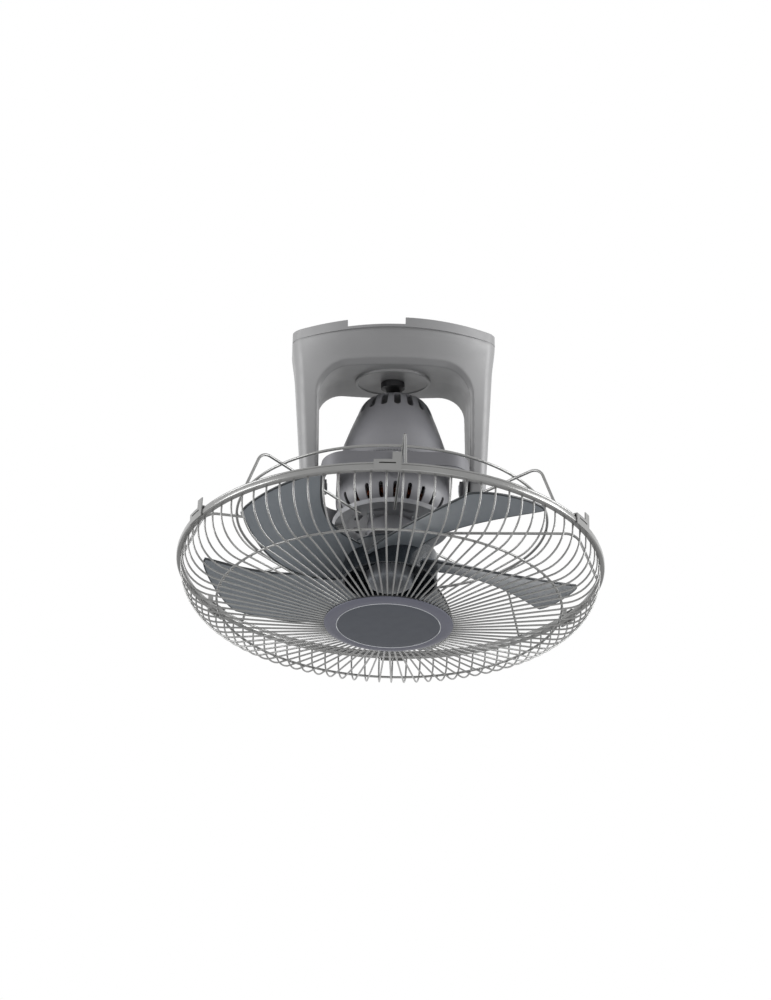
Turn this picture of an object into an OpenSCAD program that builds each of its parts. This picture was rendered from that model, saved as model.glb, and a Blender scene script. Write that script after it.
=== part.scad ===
// Orbital ceiling fan: a yoke under the ceiling carries a gimbal ring, and a caged fan head hangs
// in that ring. A crank under the yoke leads the top of the motor round a circle, so the head
// sweeps a cone without turning on its own axis. The origin is the centre of the ceiling face, with
// +Z up, +X along the yoke and -Y towards the side that the head faces at rest.

/* [Layout] */
// Height left for the crank between the yoke's disc and the level of the motor's top
crank_room = 21.35; // [20.35:0.25:25.35]
// Lean of the head towards -Y at rest, in degrees
lean_front = 11.5; // [8:0.5:11.5]
// Lean of the head towards -X at rest, in degrees
lean_side = 2.4; // [0:0.2:3]

/* [Yoke] */
// Width of the yoke at the ceiling
yoke_w = 218; // [214:1:224]
// Width of the yoke across its legs at the pivots
yoke_pivot_w = 195; // [192:1:198]
// Depth of the yoke in the middle, at the ceiling
yoke_mid_depth = 156; // [140:2:170]
// Depth of the yoke in the middle, at the top of the arch
arch_mid_depth = 124; // [110:2:130]
// Depth of the yoke at its two ends
yoke_end_depth = 60; // [52:2:70]
// Radius of the round end of each leg
leg_end_r = 24; // [20:1:25]
// Thickness of each leg at its pivot
leg_t = 16.5; // [15:0.5:17]
// Drop from the ceiling face to the top of the arch
arch_drop = 39.5; // [37:0.5:40]
// Radius of the arch's corners
arch_corner_r = 30; // [20:1:36]
// Radius of the yoke's corners seen from below
yoke_corner_r = 9; // [4:0.5:14]
// Height of the lip round the ceiling edge
lip_h = 7; // [5:0.5:9]
// How far the lip stands out
lip_step = 1.5; // [1:0.25:2.5]
// Wall of the hollow yoke head
yoke_wall = 3; // [2.5:0.25:4]
// Width of the cable notch in the lip
notch_w = 60; // [30:2:70]
// Place of the cable notch along X
notch_x = -21; // [-30:1:30]

/* [Ceiling plate] */
// Gap between each end of the steel plate and the inside of the yoke
plate_end_gap = 8; // [6:0.5:11]
// Width of the steel plate
plate_w = 44; // [36:1:46]
// Thickness of the steel plate
plate_t = 2; // [1.5:0.25:3]
// Drop of the plate's folded ends
plate_fold = 16; // [15:0.5:18]
// Distance between the two ceiling screws
slot_spacing = 84; // [70:1:100]
// Length of each ceiling screw slot
slot_l = 14; // [12:1:20]
// Width of each ceiling screw slot
slot_w = 5.5; // [4.5:0.25:6.5]
// Drop of the side screws below the ceiling face
side_screw_drop = 9.5; // [9:0.25:10]

/* [Pivots] */
// Radius of the gimbal pivot bolts
bolt_r = 4; // [3:0.25:4.5]
// Radius of the upright crank pin
crank_pin_r = 6; // [5:0.25:6.5]
// Radius of the orbit shaft on the motor's own axis
orbit_shaft_r = 4; // [3.5:0.25:4.25]
// Radius of the disc under the yoke
disc_r = 41; // [36:1:46]
// Thickness of the disc under the yoke
disc_t = 5; // [4:0.25:5.5]
// Wall of the plain bushes
bush_wall = 2; // [1.5:0.25:2.5]

/* [Gimbal ring] */
// Gap between the ring and each leg
ring_side_gap = 3; // [2.5:0.25:3.5]
// Depth of the ring from its front to its back
ring_d = 140; // [139:1:150]
// Wall of the ring
ring_wall = 3.5; // [3:0.25:3.5]
// Height of the ring
ring_h = 19; // [18:0.5:20]
// Height of the ring's top edge above its pivots
ring_top = 6; // [5:0.5:7]
// Outer radius of the ring's corners
ring_corner_r = 28; // [24:1:40]

/* [Motor] */
// Radius of the lower housing
motor_r = 61; // [58:0.5:61.5]
// Height of the seam between the housings above the gimbal centre
seam_h = 12; // [10:0.5:14]
// Height of the housing's top above the gimbal centre
bell_top_h = 100; // [98:0.5:104]
// Radius of the upper housing where its rounded shoulder begins
bell_top_r = 34; // [32:0.5:36]
// Height of the upper housing's rounded shoulder
bell_shoulder_h = 15; // [12:0.5:18]
// Depth of the housing's underside below the gimbal centre
motor_floor = 44; // [43:0.5:44.5]
// Wall of the housings
motor_wall = 2.5; // [2:0.25:3]
// Radius of the neck round the front bearing
neck_r = 26; // [22:0.5:28]
// Depth of the neck's end below the gimbal centre
neck_end = 62; // [60:0.5:62.5]
// Number of air slots in the upper housing
upper_slots = 18; // [12:1:20]
// Number of air slots in the lower housing
lower_slots = 24; // [16:1:26]
// Width of the air slots
slot_gap = 4.5; // [4:0.25:6]
// Radius of the motor shaft
shaft_r = 5; // [4:0.25:5.5]
// Outer radius of the stator
stator_r = 45; // [40:1:48]
// Radius of the bore through the stator
stator_bore_r = 26; // [24:0.5:28]
// Height of the lamination stack
stack_h = 24; // [18:1:26]
// Air gap between the rotor and the stator
air_gap = 0.4; // [0.3:0.05:0.6]

/* [Orbit drive] */
// Teeth on the large wheel
wheel_teeth = 34; // [30:2:34]
// Teeth on the pinion
pinion_teeth = 10; // [10:2:12]
// Gear module
gear_module = 1; // [0.9:0.05:1]
// Width of the gears
gear_w = 6; // [4:0.5:7]
// Radius of the orbit motor
orbit_motor_r = 20; // [16:0.5:22]

/* [Cage] */
// Radius of the cage's rim band
cage_r = 225; // [222:1:230]
// Depth of the rim band's middle below the gimbal centre
rim_depth = 98.5; // [97:0.5:100]
// Height of the rim band
rim_h = 6; // [5.5:0.25:8]
// Width of the rim band's top
rim_w = 5; // [4.8:0.1:6]
// Thickness of the rim band's sheet
rim_t = 1.2; // [0.8:0.1:1.2]
// Number of wires in the front guard
front_wires = 88; // [56:8:104]
// Radius of each front wire
front_wire_r = 1; // [0.8:0.1:1.2]
// Radius of the bend in each front wire
front_bend_r = 38; // [25:1:50]
// Distance of the front guard's middle ring inside the rim
front_ring_inset = 45; // [10:1:90]
// Depth of the front wires where they leave the badge
front_depth = 159.6; // [156:0.2:162]
// Fall of the front wires towards the centre, in degrees
front_cone = 7.1; // [5:0.1:9]
// Number of struts in the rear guard
rear_struts = 8; // [6:1:12]
// Turn of the first strut from the right, in degrees
strut_turn = 0.5; // [0:0.5:20]
// Radius of the rear guard's wire
rear_wire_r = 1.5; // [1.2:0.1:1.6]
// Radius of the bend in each strut
strut_bend_r = 17; // [8:1:20]
// How far each strut's foot spreads outside its corner
strut_spread = 21; // [17:0.5:40]
// Rise of the struts away from the motor, in degrees
strut_rise = 3.4; // [2:0.2:4]
// Distance of the rear guard's middle ring inside the struts' corners
rear_ring_inset = 33; // [15:1:80]
// Number of rim clips
clip_count = 6; // [4:1:8]
// Turn of the first clip from the right, in degrees
clip_turn = -34; // [-40:1:-26]
// Width of each rim clip
clip_w = 27; // [20:1:30]
// Width of the upright tab on each rim clip
clip_tab_w = 9; // [6:0.5:12]
// Height of the upright tab above the rim
clip_tab_h = 13; // [8:0.5:15]

/* [Badge] */
// Radius of the badge
badge_r = 67.4; // [60:0.2:72]
// How far the badge's face domes out
badge_dome = 6; // [3:0.5:9]

/* [Impeller] */
// Number of blades
blade_count = 5; // [3:1:6]
// Gap between the blade tips and the outside of the rim
tip_gap = 25; // [20:1:35]
// Radius of the hub
hub_r = 50; // [44:0.5:54]
// Depth of the hub's rim below the gimbal centre
hub_rim_depth = 104; // [102:0.5:106]
// Height of the hub's straight wall
hub_wall_h = 20; // [18:0.5:21]
// Wall of the hub
hub_wall = 2.4; // [2:0.2:3]
// Chord of a blade at its root
blade_root_w = 60; // [50:1:61]
// Chord of a blade at its tip
blade_tip_w = 100; // [80:1:105]
// Pitch of a blade at its root, in degrees
blade_root_pitch = 12; // [8:0.5:13]
// Pitch of a blade at its tip, in degrees
blade_tip_pitch = 9; // [6:0.5:12]
// Extra pitch of a blade between its root and its tip, in degrees
blade_twist = 7; // [4:0.5:8]
// How far the root's middle lags behind the tip's middle, in degrees
blade_sweep = 35; // [0:1:40]
// Depth of a blade's middle at its root below the gimbal centre
blade_root_depth = 97; // [96:0.5:98]
// Depth of a blade's middle at its tip below the gimbal centre
blade_tip_depth = 94.5; // [92:0.5:97]
// Thickness of a blade
blade_t = 2.2; // [1.6:0.1:2.6]
// Turn of the first blade's tip from the right, in degrees
blade_turn = 16; // [0:1:71]
// Radius of the knob that holds the impeller
knob_r = 23; // [18:0.5:26]

/* [Fits] */
// Running clearance of shafts in bushes, on the radius
run_clear = 0.05; // [0.03:0.01:0.08]
// Gap at pieces that are seated on each other
seat_gap = 0.15; // [0.1:0.01:0.25]
// Gap beside faces that turn past each other
turn_gap = 0.4; // [0.35:0.05:0.5]

/* [Hidden] */
$fn = 64;
FINE = 128;
WIRE = 20;
EPS = 0.02;
BEND_LAP = 0.3;
BEND_SWELL = 0.02;

gimbal_drop = arch_drop + seat_gap + disc_t + crank_room + bell_top_h;
arch_w = yoke_pivot_w - 2 * leg_t;
cone_tilt = acos(cos(lean_front) * cos(lean_side));
crank_turn = atan2(sin(lean_front) * cos(lean_side), sin(lean_side));

// Colours of the finishes
SATIN = "#8c8d90";
DARK_RING = "#66666a";
WIRE_GREY = "#96948e";
SLATE = "#60666c";
SMOKE = "#33363a";
BLACK = "#1c1c1e";
STEEL = "#b4b6b8";
COPPER = "#a8623a";
BRONZE = "#9c7a48";

// ---- Frames ----------------------------------------------------------------------------------

// Upright frame with its origin at the gimbal centre
module at_gimbal() { translate([0, 0, -gimbal_drop]) children(); }

// Frame of the head: +Z runs up the motor's axis
module in_head() { at_gimbal() rotate([-lean_front, 0, 0]) rotate([0, lean_side, 0]) children(); }

// Frame of the gimbal ring, which only leans about the line through the legs
module in_ring() { at_gimbal() rotate([-lean_front, 0, 0]) children(); }

// Frame of the crank: upright, with +X towards the top of the leaning motor
module in_crank() { at_gimbal() rotate([0, 0, crank_turn]) children(); }

// Along the motor's axis, inside the frame of the crank
module on_orbit_axis() { in_crank() rotate([0, cone_tilt, 0]) children(); }

module ring_of(count, first = 0) { for (i = [0:count - 1]) rotate([0, 0, first + 360 * i / count]) children(); }

// Points its child's +Z along +X or -X
module facing(side) { rotate([0, side * 90, 0]) children(); }

// ---- Shared shapes ---------------------------------------------------------------------------

module tube(outer, inner, h) {
    difference() {
        cylinder(r = outer, h = h);
        translate([0, 0, -1]) cylinder(r = inner, h = h + 2);
    }
}

// Solid of revolution from [radius, height] points
module turned(points) { rotate_extrude($fn = FINE) polygon(points); }

// Straight round rod between two [radius, height] points of the XZ plane
module rod(a, b, r) {
    translate([a.x, 0, a.y]) rotate([0, atan2(b.x - a.x, b.y - a.y), 0])
        cylinder(r = r, h = norm(b - a), $fn = WIRE);
}

// Rod from a to b in the XZ plane that turns at the corner with an even bend. The bend swells by
// BEND_SWELL, so that the straights end inside it and all three fuse.
module bent_rod(a, corner, b, bend, r) {
    u = (corner - a) / norm(corner - a);
    v = (b - corner) / norm(b - corner);
    turn = atan2(u.x * v.y - u.y * v.x, u * v);
    run = bend * tan(abs(turn) / 2);
    start = corner - run * u;
    centre = start + sign(turn) * bend * [-u.y, u.x];
    from = atan2(u.y, u.x) - sign(turn) * 90;
    rod(a, start + BEND_LAP * u, r);
    rod(corner + (run - BEND_LAP) * v, b, r);
    translate([centre.x, 0, centre.y]) rotate([90, 0, 0]) rotate([0, 0, min(from, from + turn)])
        rotate_extrude(angle = abs(turn), $fn = FINE) translate([bend, 0])
            circle(r = r + BEND_SWELL, $fn = WIRE);
}

module wire_ring(radius, height, r) {
    translate([0, 0, height]) rotate_extrude($fn = FINE) translate([radius, 0]) circle(r = r, $fn = WIRE);
}

// Flat slot with round ends, along X, cut or raised over h
module slot(l, w, h) {
    for (x = [-1, 1]) translate([x * (l - w) / 2, 0, 0]) cylinder(r = w / 2, h = h, $fn = 24);
    translate([-(l - w) / 2, -w / 2, 0]) cube([l - w, w, h]);
}

// Pan-headed screw with its head's underside at z = 0 and the shank below
module pan_screw(shank_r, shank_l, head_r, head_h) {
    translate([0, 0, -shank_l]) cylinder(r = shank_r, h = shank_l + EPS, $fn = 32);
    difference() {
        cylinder(r = head_r, h = head_h, $fn = 32);
        translate([0, 0, head_h / 2]) for (a = [0, 90]) rotate([0, 0, a])
            translate([-head_r * 0.6, -head_r * 0.12, 0]) cube([head_r * 1.2, head_r * 0.24, head_h]);
    }
}

// Upright block from low to high whose outline is a rectangle with round corners
module rounded_block(half_x, half_y, r, low, high) {
    x = half_x - r;
    y = half_y - r;
    translate([0, 0, low]) linear_extrude(high - low) {
        for (sx = [-x, x], sy = [-y, y]) translate([sx, sy]) circle(r = r);
        square([2 * half_x, 2 * y], center = true);
        square([2 * x, 2 * half_y], center = true);
    }
}

// ---- Ceiling plate and yoke ------------------------------------------------------------------

fold_x = yoke_w / 2 - yoke_wall - plate_end_gap;
plate_l = 2 * fold_x;
side_screw_r = 2;

module ceiling_plate() color(STEEL) difference() {
    union() {
        translate([-plate_l / 2, -plate_w / 2, -plate_t]) cube([plate_l, plate_w, plate_t]);
        for (s = [-1, 1]) translate([s * (fold_x - plate_t / 2) - plate_t / 2, -plate_w / 3, -plate_fold])
            cube([plate_t, 2 * plate_w / 3, plate_fold]);
    }
    for (s = [-1, 1]) translate([s * slot_spacing / 2, 0, -plate_t - 1]) slot(slot_l, slot_w, plate_t + 2);
    translate([0, cable_hole_y, -plate_t - 1]) cylinder(r = cable_hole_r, h = plate_t + 2);
    translate([-fold_x - 1, 0, -side_screw_drop]) facing(1)
        cylinder(r = side_screw_r + seat_gap, h = plate_l + 2, $fn = 32);
}

cable_hole_r = 7;
cable_hole_y = 13;
block_size = [34, 14, 12];
block_x = 62;

// Terminal block with three screw clamps, hung under the ceiling plate
module terminal_block() color(BLACK) translate([block_x, 0, -plate_t - seat_gap - block_size.z])
    difference() {
        translate([-block_size.x / 2, -block_size.y / 2, 0]) cube(block_size);
        for (i = [-1:1]) translate([i * block_size.x / 3, 0, 0]) {
            translate([0, 0, -1]) cylinder(r = 2.2, h = 5, $fn = 24);
            translate([0, block_size.y, block_size.z / 2]) rotate([90, 0, 0])
                cylinder(r = 2, h = 2 * block_size.y, $fn = 24);
        }
    }

// Half-depth of the yoke at x, for a half-width w: it bows from end to mid and rounds off its corners
function bow(x, w, end, mid) =
    let (past = max(0, abs(x) - w + yoke_corner_r) / yoke_corner_r)
    end + (mid - end) * (1 - pow(x / w, 2)) - yoke_corner_r * (1 - sqrt(max(0, 1 - past * past)));

// Barrel outline of the yoke seen from above
module barrel(w, end, mid, steps = 16) {
    xs = [for (i = [-steps:steps]) w * sin(90 * i / steps)];
    polygon([for (x = xs) [x, -bow(x, w, end, mid)], for (x = xs) [-x, bow(x, w, end, mid)]]);
}

module barrel_slab(w, end, mid, z, h = EPS) { translate([0, 0, z]) linear_extrude(h) barrel(w, end, mid); }

leg_bottom = gimbal_drop + leg_end_r;

// Outside of the yoke, inset by a wall: the head narrows quickly down to the arch, the legs slowly below it
module yoke_body(inset = 0) {
    hull() {
        barrel_slab(yoke_w / 2 - inset, yoke_end_depth / 2 - inset, yoke_mid_depth / 2 - inset, -EPS);
        barrel_slab(yoke_w / 2 - inset, yoke_end_depth / 2 - inset, yoke_mid_depth / 2 - inset - neck_in,
            -2 * lip_h);
        arch_slab(inset);
    }
    hull() {
        arch_slab(inset);
        barrel_slab(yoke_pivot_w / 2 - inset, leg_end_r - inset, leg_end_r + leg_bow - inset, -leg_bottom);
    }
}

module arch_slab(inset)
    barrel_slab(yoke_at_arch / 2 - inset, arch_end_depth / 2 - inset, arch_mid_depth / 2 - inset, -arch_drop);

neck_in = 4;
leg_bow = 8;
yoke_at_arch = yoke_w - (yoke_w - yoke_pivot_w) * arch_drop / gimbal_drop;
arch_end_depth = yoke_end_depth - neck_in;

// Arch between the legs, cut right through along Y
module arch_cut() {
    half = arch_w / 2;
    top = -arch_drop;
    translate([0, yoke_mid_depth, 0]) rotate([90, 0, 0]) linear_extrude(2 * yoke_mid_depth) {
        for (s = [-1, 1]) translate([s * (half - arch_corner_r), top - arch_corner_r])
            circle(r = arch_corner_r, $fn = FINE);
        translate([-half, -leg_bottom - 1]) square([arch_w, leg_bottom + 1 + top - arch_corner_r]);
        translate([-(half - arch_corner_r), top - arch_corner_r - 1])
            square([arch_w - 2 * arch_corner_r, arch_corner_r + 1]);
    }
}

// Takes everything but a round end off each leg below the pivot
module leg_end_cut() difference() {
    translate([-yoke_w, -yoke_mid_depth, -leg_bottom - 1])
        cube([2 * yoke_w, 2 * yoke_mid_depth, leg_end_r + 1]);
    at_gimbal() translate([-yoke_w, 0, 0]) facing(1) cylinder(r = leg_end_r, h = 2 * yoke_w);
}

floor_z = -arch_drop + yoke_wall;
tower_r = crank_pin_r + bush_wall + 5;
screw_boss_r = 6;

module yoke() color(SATIN) difference() {
    union() {
        difference() {
            union() {
                yoke_body();
                translate([0, 0, -lip_h]) linear_extrude(lip_h)
                    barrel(yoke_w / 2 + lip_step, yoke_end_depth / 2 + lip_step, yoke_mid_depth / 2 + lip_step);
            }
            intersection() {
                yoke_body(yoke_wall);
                translate([-yoke_w, -yoke_w, floor_z]) cube([2 * yoke_w, 2 * yoke_w, -floor_z + 1]);
            }
        }
        for (s = [-1, 1]) translate([s * (fold_x + seat_gap), 0, -side_screw_drop]) facing(s)
            cylinder(r = screw_boss_r, h = yoke_w / 2 - fold_x - seat_gap);
    }
    arch_cut();
    leg_end_cut();
    translate([notch_x - notch_w / 2, -yoke_mid_depth, -lip_h + 0.5]) cube([notch_w, yoke_mid_depth, lip_h]);
    translate([0, 0, -arch_drop - 1]) cylinder(r = tower_r + seat_gap, h = yoke_wall + 2);
    ring_of(4, 45) translate([disc_screw_ring, 0, -arch_drop - 1])
        cylinder(r = disc_screw_r + seat_gap, h = yoke_wall + 2, $fn = 32);
    for (s = [-1, 1]) translate([s * fold_x, 0, -side_screw_drop]) facing(s) {
        cylinder(r = side_screw_r + seat_gap, h = yoke_w, $fn = 32);
        translate([0, 0, side_head_x - fold_x]) cylinder(r = side_head_r + 0.5, h = yoke_w, $fn = 32);
    }
    for (s = [-1, 1]) at_gimbal() translate([s * (arch_w / 2 - 1), 0, 0]) facing(s) {
        cylinder(r = bolt_r + seat_gap, h = yoke_w, $fn = 48);
        translate([0, 0, bolt_head_x - arch_w / 2 + 1]) cylinder(r = bolt_head_r + 0.5, h = yoke_w);
    }
}

side_head_r = 3.6;
side_head_h = 2.2;
side_head_x = yoke_w / 2 - side_head_h;

// Screws that hold the yoke to the folded ends of the ceiling plate
module side_screws() color(STEEL) for (s = [-1, 1])
    translate([s * (side_head_x + seat_gap), 0, -side_screw_drop]) facing(s)
        pan_screw(side_screw_r, side_head_x - fold_x + 5, side_head_r, side_head_h - 0.6);

// ---- Disc and bush that carry the crank ------------------------------------------------------

disc_bottom = -arch_drop - seat_gap - disc_t;
bush_r = crank_pin_r + bush_wall;
tower_h = 18;
disc_screw_r = 1.8;
disc_screw_ring = 29;
disc_screw_sink = 2.6;

crank_flange_t = 2;
bush_flange_r = bush_r + 3.5;
disc_rim_w = 4;
disc_recess = 0.8;
disc_chamfer = 1.5;
disc_hub_r = bush_flange_r + 1;

module pivot_disc() color(SATIN) difference() {
    union() {
        translate([0, 0, disc_bottom]) turned([
            [0, 0], [disc_hub_r, 0], [disc_hub_r + disc_recess, disc_recess],
            [disc_r - disc_rim_w - disc_recess, disc_recess], [disc_r - disc_rim_w, 0],
            [disc_r - disc_chamfer, 0], [disc_r, disc_chamfer], [disc_r, disc_t], [0, disc_t]]);
        translate([0, 0, disc_bottom + disc_t - EPS]) cylinder(r = tower_r, h = tower_h + EPS);
    }
    translate([0, 0, disc_bottom - 1]) cylinder(r = bush_r + EPS, h = disc_t + tower_h + 2);
    ring_of(4, 45) translate([disc_screw_ring, 0, disc_bottom - 1]) {
        cylinder(r = disc_screw_r + seat_gap, h = disc_t + 2, $fn = 32);
        cylinder(r = 3.7, h = 1 + disc_screw_sink, $fn = 32);
    }
}

module disc_screws() color(STEEL) ring_of(4, 45)
    translate([disc_screw_ring, 0, disc_bottom + disc_screw_sink - seat_gap]) rotate([180, 0, 0])
        pan_screw(disc_screw_r, disc_t + yoke_wall, 3.3, 2);

// Flanged bush in the disc: its flange carries nothing, but keeps the lever off the disc
module crank_bush() color(BLACK) difference() {
    union() {
        translate([0, 0, disc_bottom]) cylinder(r = bush_r, h = disc_t + tower_h);
        translate([0, 0, disc_bottom - seat_gap - crank_flange_t])
            cylinder(r = bush_flange_r, h = crank_flange_t);
        translate([0, 0, disc_bottom - seat_gap - EPS]) cylinder(r = bush_r, h = seat_gap + 2 * EPS);
    }
    translate([0, 0, disc_bottom - crank_flange_t - 1])
        cylinder(r = crank_pin_r + run_clear, h = disc_t + tower_h + crank_flange_t + 2);
}

// ---- Crank -----------------------------------------------------------------------------------

orbit_flange_t = 2;
lever_top = gimbal_drop + disc_bottom - seat_gap - crank_flange_t - turn_gap;
lever_hub_r = 13;
lever_hub_t = 6;
lever_w = 15;
boss_low = bell_top_h + orbit_flange_t + turn_gap + seat_gap;
boss_h = 11;
boss_r = 7.5;
boss_rib = 1.2;
boss_ribs = 3;
lever_reach = (boss_low + boss_h / 2) * sin(cone_tilt);
boss_top = boss_low + boss_h * cos(cone_tilt);
tower_top = gimbal_drop + disc_bottom + disc_t + tower_h;
clip_seat = 1.6;
clip_groove = 1.2;

// Crank lever: an upright pin in the yoke, a leaning arm, and a ribbed boss on the orbit shaft
module crank_lever() color(BLACK) difference() {
    union() {
        in_crank() {
            translate([0, 0, lever_top - lever_hub_t]) cylinder(r = lever_hub_r, h = lever_hub_t);
            translate([0, 0, lever_top - EPS])
                cylinder(r = crank_pin_r, h = tower_top - lever_top + clip_seat + 2 * clip_groove);
            translate([0, lever_w / 2, 0]) rotate([90, 0, 0]) linear_extrude(lever_w) polygon([
                [-crank_pin_r, lever_top - 1], [lever_hub_r - 2, lever_top - 1],
                [lever_reach + boss_r, boss_top - 2], [lever_reach + boss_r, boss_low + boss_h / 2],
                [lever_reach - boss_r, boss_low + boss_h / 2 - 1], [-crank_pin_r, lever_top - lever_hub_t]]);
        }
        on_orbit_axis() {
            translate([0, 0, boss_low]) cylinder(r = boss_r, h = boss_h);
            for (i = [0:boss_ribs - 1]) translate([0, 0, boss_low + 2 * i * boss_rib])
                cylinder(r = boss_r + boss_rib, h = boss_rib);
        }
    }
    on_orbit_axis() translate([0, 0, boss_low - 1]) cylinder(r = orbit_shaft_r + EPS, h = boss_h + 2);
    on_orbit_axis() translate([0, 0, boss_low + boss_h]) cylinder(r = boss_r + 3, h = boss_h);
    in_crank() translate([0, 0, tower_top + clip_seat - seat_gap])
        tube(crank_pin_r + 2, crank_pin_r - clip_groove, clip_groove + 2 * seat_gap);
}

// Spring clip in the groove at the top of the crank pin, resting on the bush
module crank_clip() color(STEEL) in_crank() translate([0, 0, tower_top + clip_seat]) difference() {
    tube(crank_pin_r + 3, crank_pin_r - clip_groove + seat_gap, clip_groove);
    translate([0, -crank_pin_r * 0.7, -1]) cube([crank_pin_r * 2, crank_pin_r * 1.4, 4]);
}

gear_plate_h = 52;
orbit_shaft_low = gear_plate_h + 0.4;
shaft_screw_r = 1.5;

module orbit_shaft() color(STEEL) on_orbit_axis() difference() {
    translate([0, 0, orbit_shaft_low]) cylinder(r = orbit_shaft_r, h = boss_low + boss_h - orbit_shaft_low);
    translate([0, 0, boss_low + boss_h - 7]) cylinder(r = shaft_screw_r + seat_gap, h = 8, $fn = 32);
}

module shaft_screw() color(STEEL) on_orbit_axis() translate([0, 0, boss_low + boss_h + seat_gap])
    pan_screw(shaft_screw_r, 6, 5, 2.4);

// ---- Orbit drive inside the upper housing ----------------------------------------------------

gear_plate_t = 2;
wheel_h = gear_plate_h + gear_plate_t + 3.2;
gear_centres = gear_module * (wheel_teeth + pinion_teeth) / 2;
pinion_shaft_r = 2.5;
gear_play = 0.12;

// Straight-toothed gear with tapering teeth. mid turns the middle of a tooth to angle zero.
module gear(teeth, w) {
    pitch_r = gear_module * teeth / 2;
    tip = pitch_r + 0.9 * gear_module;
    root = pitch_r - 1.15 * gear_module;
    step = 360 / teeth;
    half = (90 / teeth) - gear_play * 28.6 / pitch_r;
    linear_extrude(w) polygon([for (i = [0:teeth - 1], p = [
        [root, -half * 1.62], [tip, -half * 0.5], [tip, half * 0.5], [root, half * 1.62]])
        p.x * [cos(i * step + p.y), sin(i * step + p.y)]]);
}

// The wheel turns with the crank, so it is drawn in the crank's frame with a tooth space on the pinion
module orbit_wheel() color("#d8d6cc") on_orbit_axis() translate([0, 0, wheel_h]) difference() {
    union() {
        rotate([0, 0, mesh_turn]) gear(wheel_teeth, gear_w);
        cylinder(r = 8, h = gear_w + 4);
    }
    translate([0, 0, -1]) cylinder(r = orbit_shaft_r + EPS, h = gear_w + 6);
    ring_of(5) translate([11.5, 0, -1]) cylinder(r = 2, h = gear_w + 2, $fn = 24);
}

// Turn of the head's X axis seen from the crank's frame, about the motor's axis
function head_x_in_crank() =
    let (hx = [cos(lean_side), -sin(lean_front) * sin(lean_side), -sin(lean_side) * cos(lean_front)],
         cx = [cos(cone_tilt) * cos(crank_turn), cos(cone_tilt) * sin(crank_turn), -sin(cone_tilt)],
         cy = [-sin(crank_turn), cos(crank_turn), 0])
    atan2(hx * cy, hx * cx);

mesh_turn = head_x_in_crank() + 180 / wheel_teeth;

module drive_pinion() color("#d8d6cc") in_head() translate([gear_centres, 0, 0]) {
    translate([0, 0, wheel_h - 0.6]) gear(pinion_teeth, gear_w + 1.2);
    translate([0, 0, pinion_low]) cylinder(r = pinion_shaft_r, h = wheel_h - pinion_low + 1, $fn = 32);
}

pinion_low = gear_plate_h - 8;
orbit_motor_h = 18;

module gear_plate() color(STEEL) in_head() difference() {
    union() {
        translate([0, 0, gear_plate_h])
            cylinder(r = bell_inner(gear_plate_h + gear_plate_t) - seat_gap, h = gear_plate_t);
        translate([0, 0, gear_plate_h]) cylinder(r = 7.5, h = gear_plate_t + 2.6);
    }
    translate([0, 0, gear_plate_h - 1]) cylinder(r = orbit_shaft_r + run_clear, h = gear_plate_t + 6);
    translate([gear_centres, 0, gear_plate_h - 1]) cylinder(r = pinion_shaft_r + 1, h = gear_plate_t + 2);
    ring_of(3, 90) translate([30, 0, gear_plate_h - 1]) cylinder(r = 8, h = gear_plate_t + 2);
}

module orbit_motor() color(STEEL) in_head()
    translate([gear_centres, 0, gear_plate_h - orbit_motor_h - seat_gap]) difference() {
        union() {
            cylinder(r = orbit_motor_r, h = orbit_motor_h);
            translate([0, 0, 3]) cylinder(r = orbit_motor_r + 1, h = 2);
        }
        translate([0, 0, orbit_motor_h - 9]) cylinder(r = pinion_shaft_r + run_clear, h = 10, $fn = 32);
    }

module orbit_bush() color(BRONZE) in_head() difference() {
    union() {
        translate([0, 0, bell_top_h - 8]) cylinder(r = orbit_shaft_r + bush_wall, h = 8 + EPS);
        translate([0, 0, bell_top_h + EPS]) cylinder(r = orbit_shaft_r + bush_wall + 3, h = orbit_flange_t);
    }
    translate([0, 0, bell_top_h - 9]) cylinder(r = orbit_shaft_r + run_clear, h = 14);
}

// ---- Gimbal ring -----------------------------------------------------------------------------

ring_half = arch_w / 2 - ring_side_gap;
ring_half_d = ring_d / 2;
ring_inner = ring_half - ring_wall;
ring_inner_d = ring_half_d - ring_wall;
ring_bead = 0.6;
ring_bottom = ring_top - ring_h;
boss_in = 3;
leg_bush_r = bolt_r + bush_wall;
ear_r = leg_bush_r + 2.5;

// Frame round the motor, with a bead round its outside and an ear at each leg pivot
module gimbal_ring() color(DARK_RING) in_ring() difference() {
    union() {
        rounded_block(ring_half, ring_half_d, ring_corner_r, ring_bottom, ring_top);
        rounded_block(ring_half + ring_bead, ring_half_d + ring_bead, ring_corner_r,
            ring_bottom + 3, ring_top - 3);
        for (s = [-1, 1]) translate([s * ring_inner, 0, 0]) facing(s)
            cylinder(r = ear_r, h = ring_wall + ring_bead);
    }
    difference() {
        rounded_block(ring_inner, ring_inner_d, ring_corner_r - ring_wall, ring_bottom - 1, ear_r + 1);
        for (s = [-1, 1]) translate([s * (ring_inner - boss_in), 0, 0]) facing(s)
            cylinder(r = ear_r, h = boss_in + 1);
    }
    for (s = [-1, 1]) translate([s * (ring_inner - boss_in - 1), 0, 0]) facing(s)
        cylinder(r = leg_bush_r + EPS, h = ring_wall + boss_in + 3);
    for (s = [-1, 1]) translate([0, s * (ring_inner_d - 1), 0]) rotate([-s * 90, 0, 0])
        cylinder(r = ring_screw_r + seat_gap, h = ring_wall + 3, $fn = 32);
}

leg_flange_x = ring_half + ring_bead + EPS;

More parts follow.
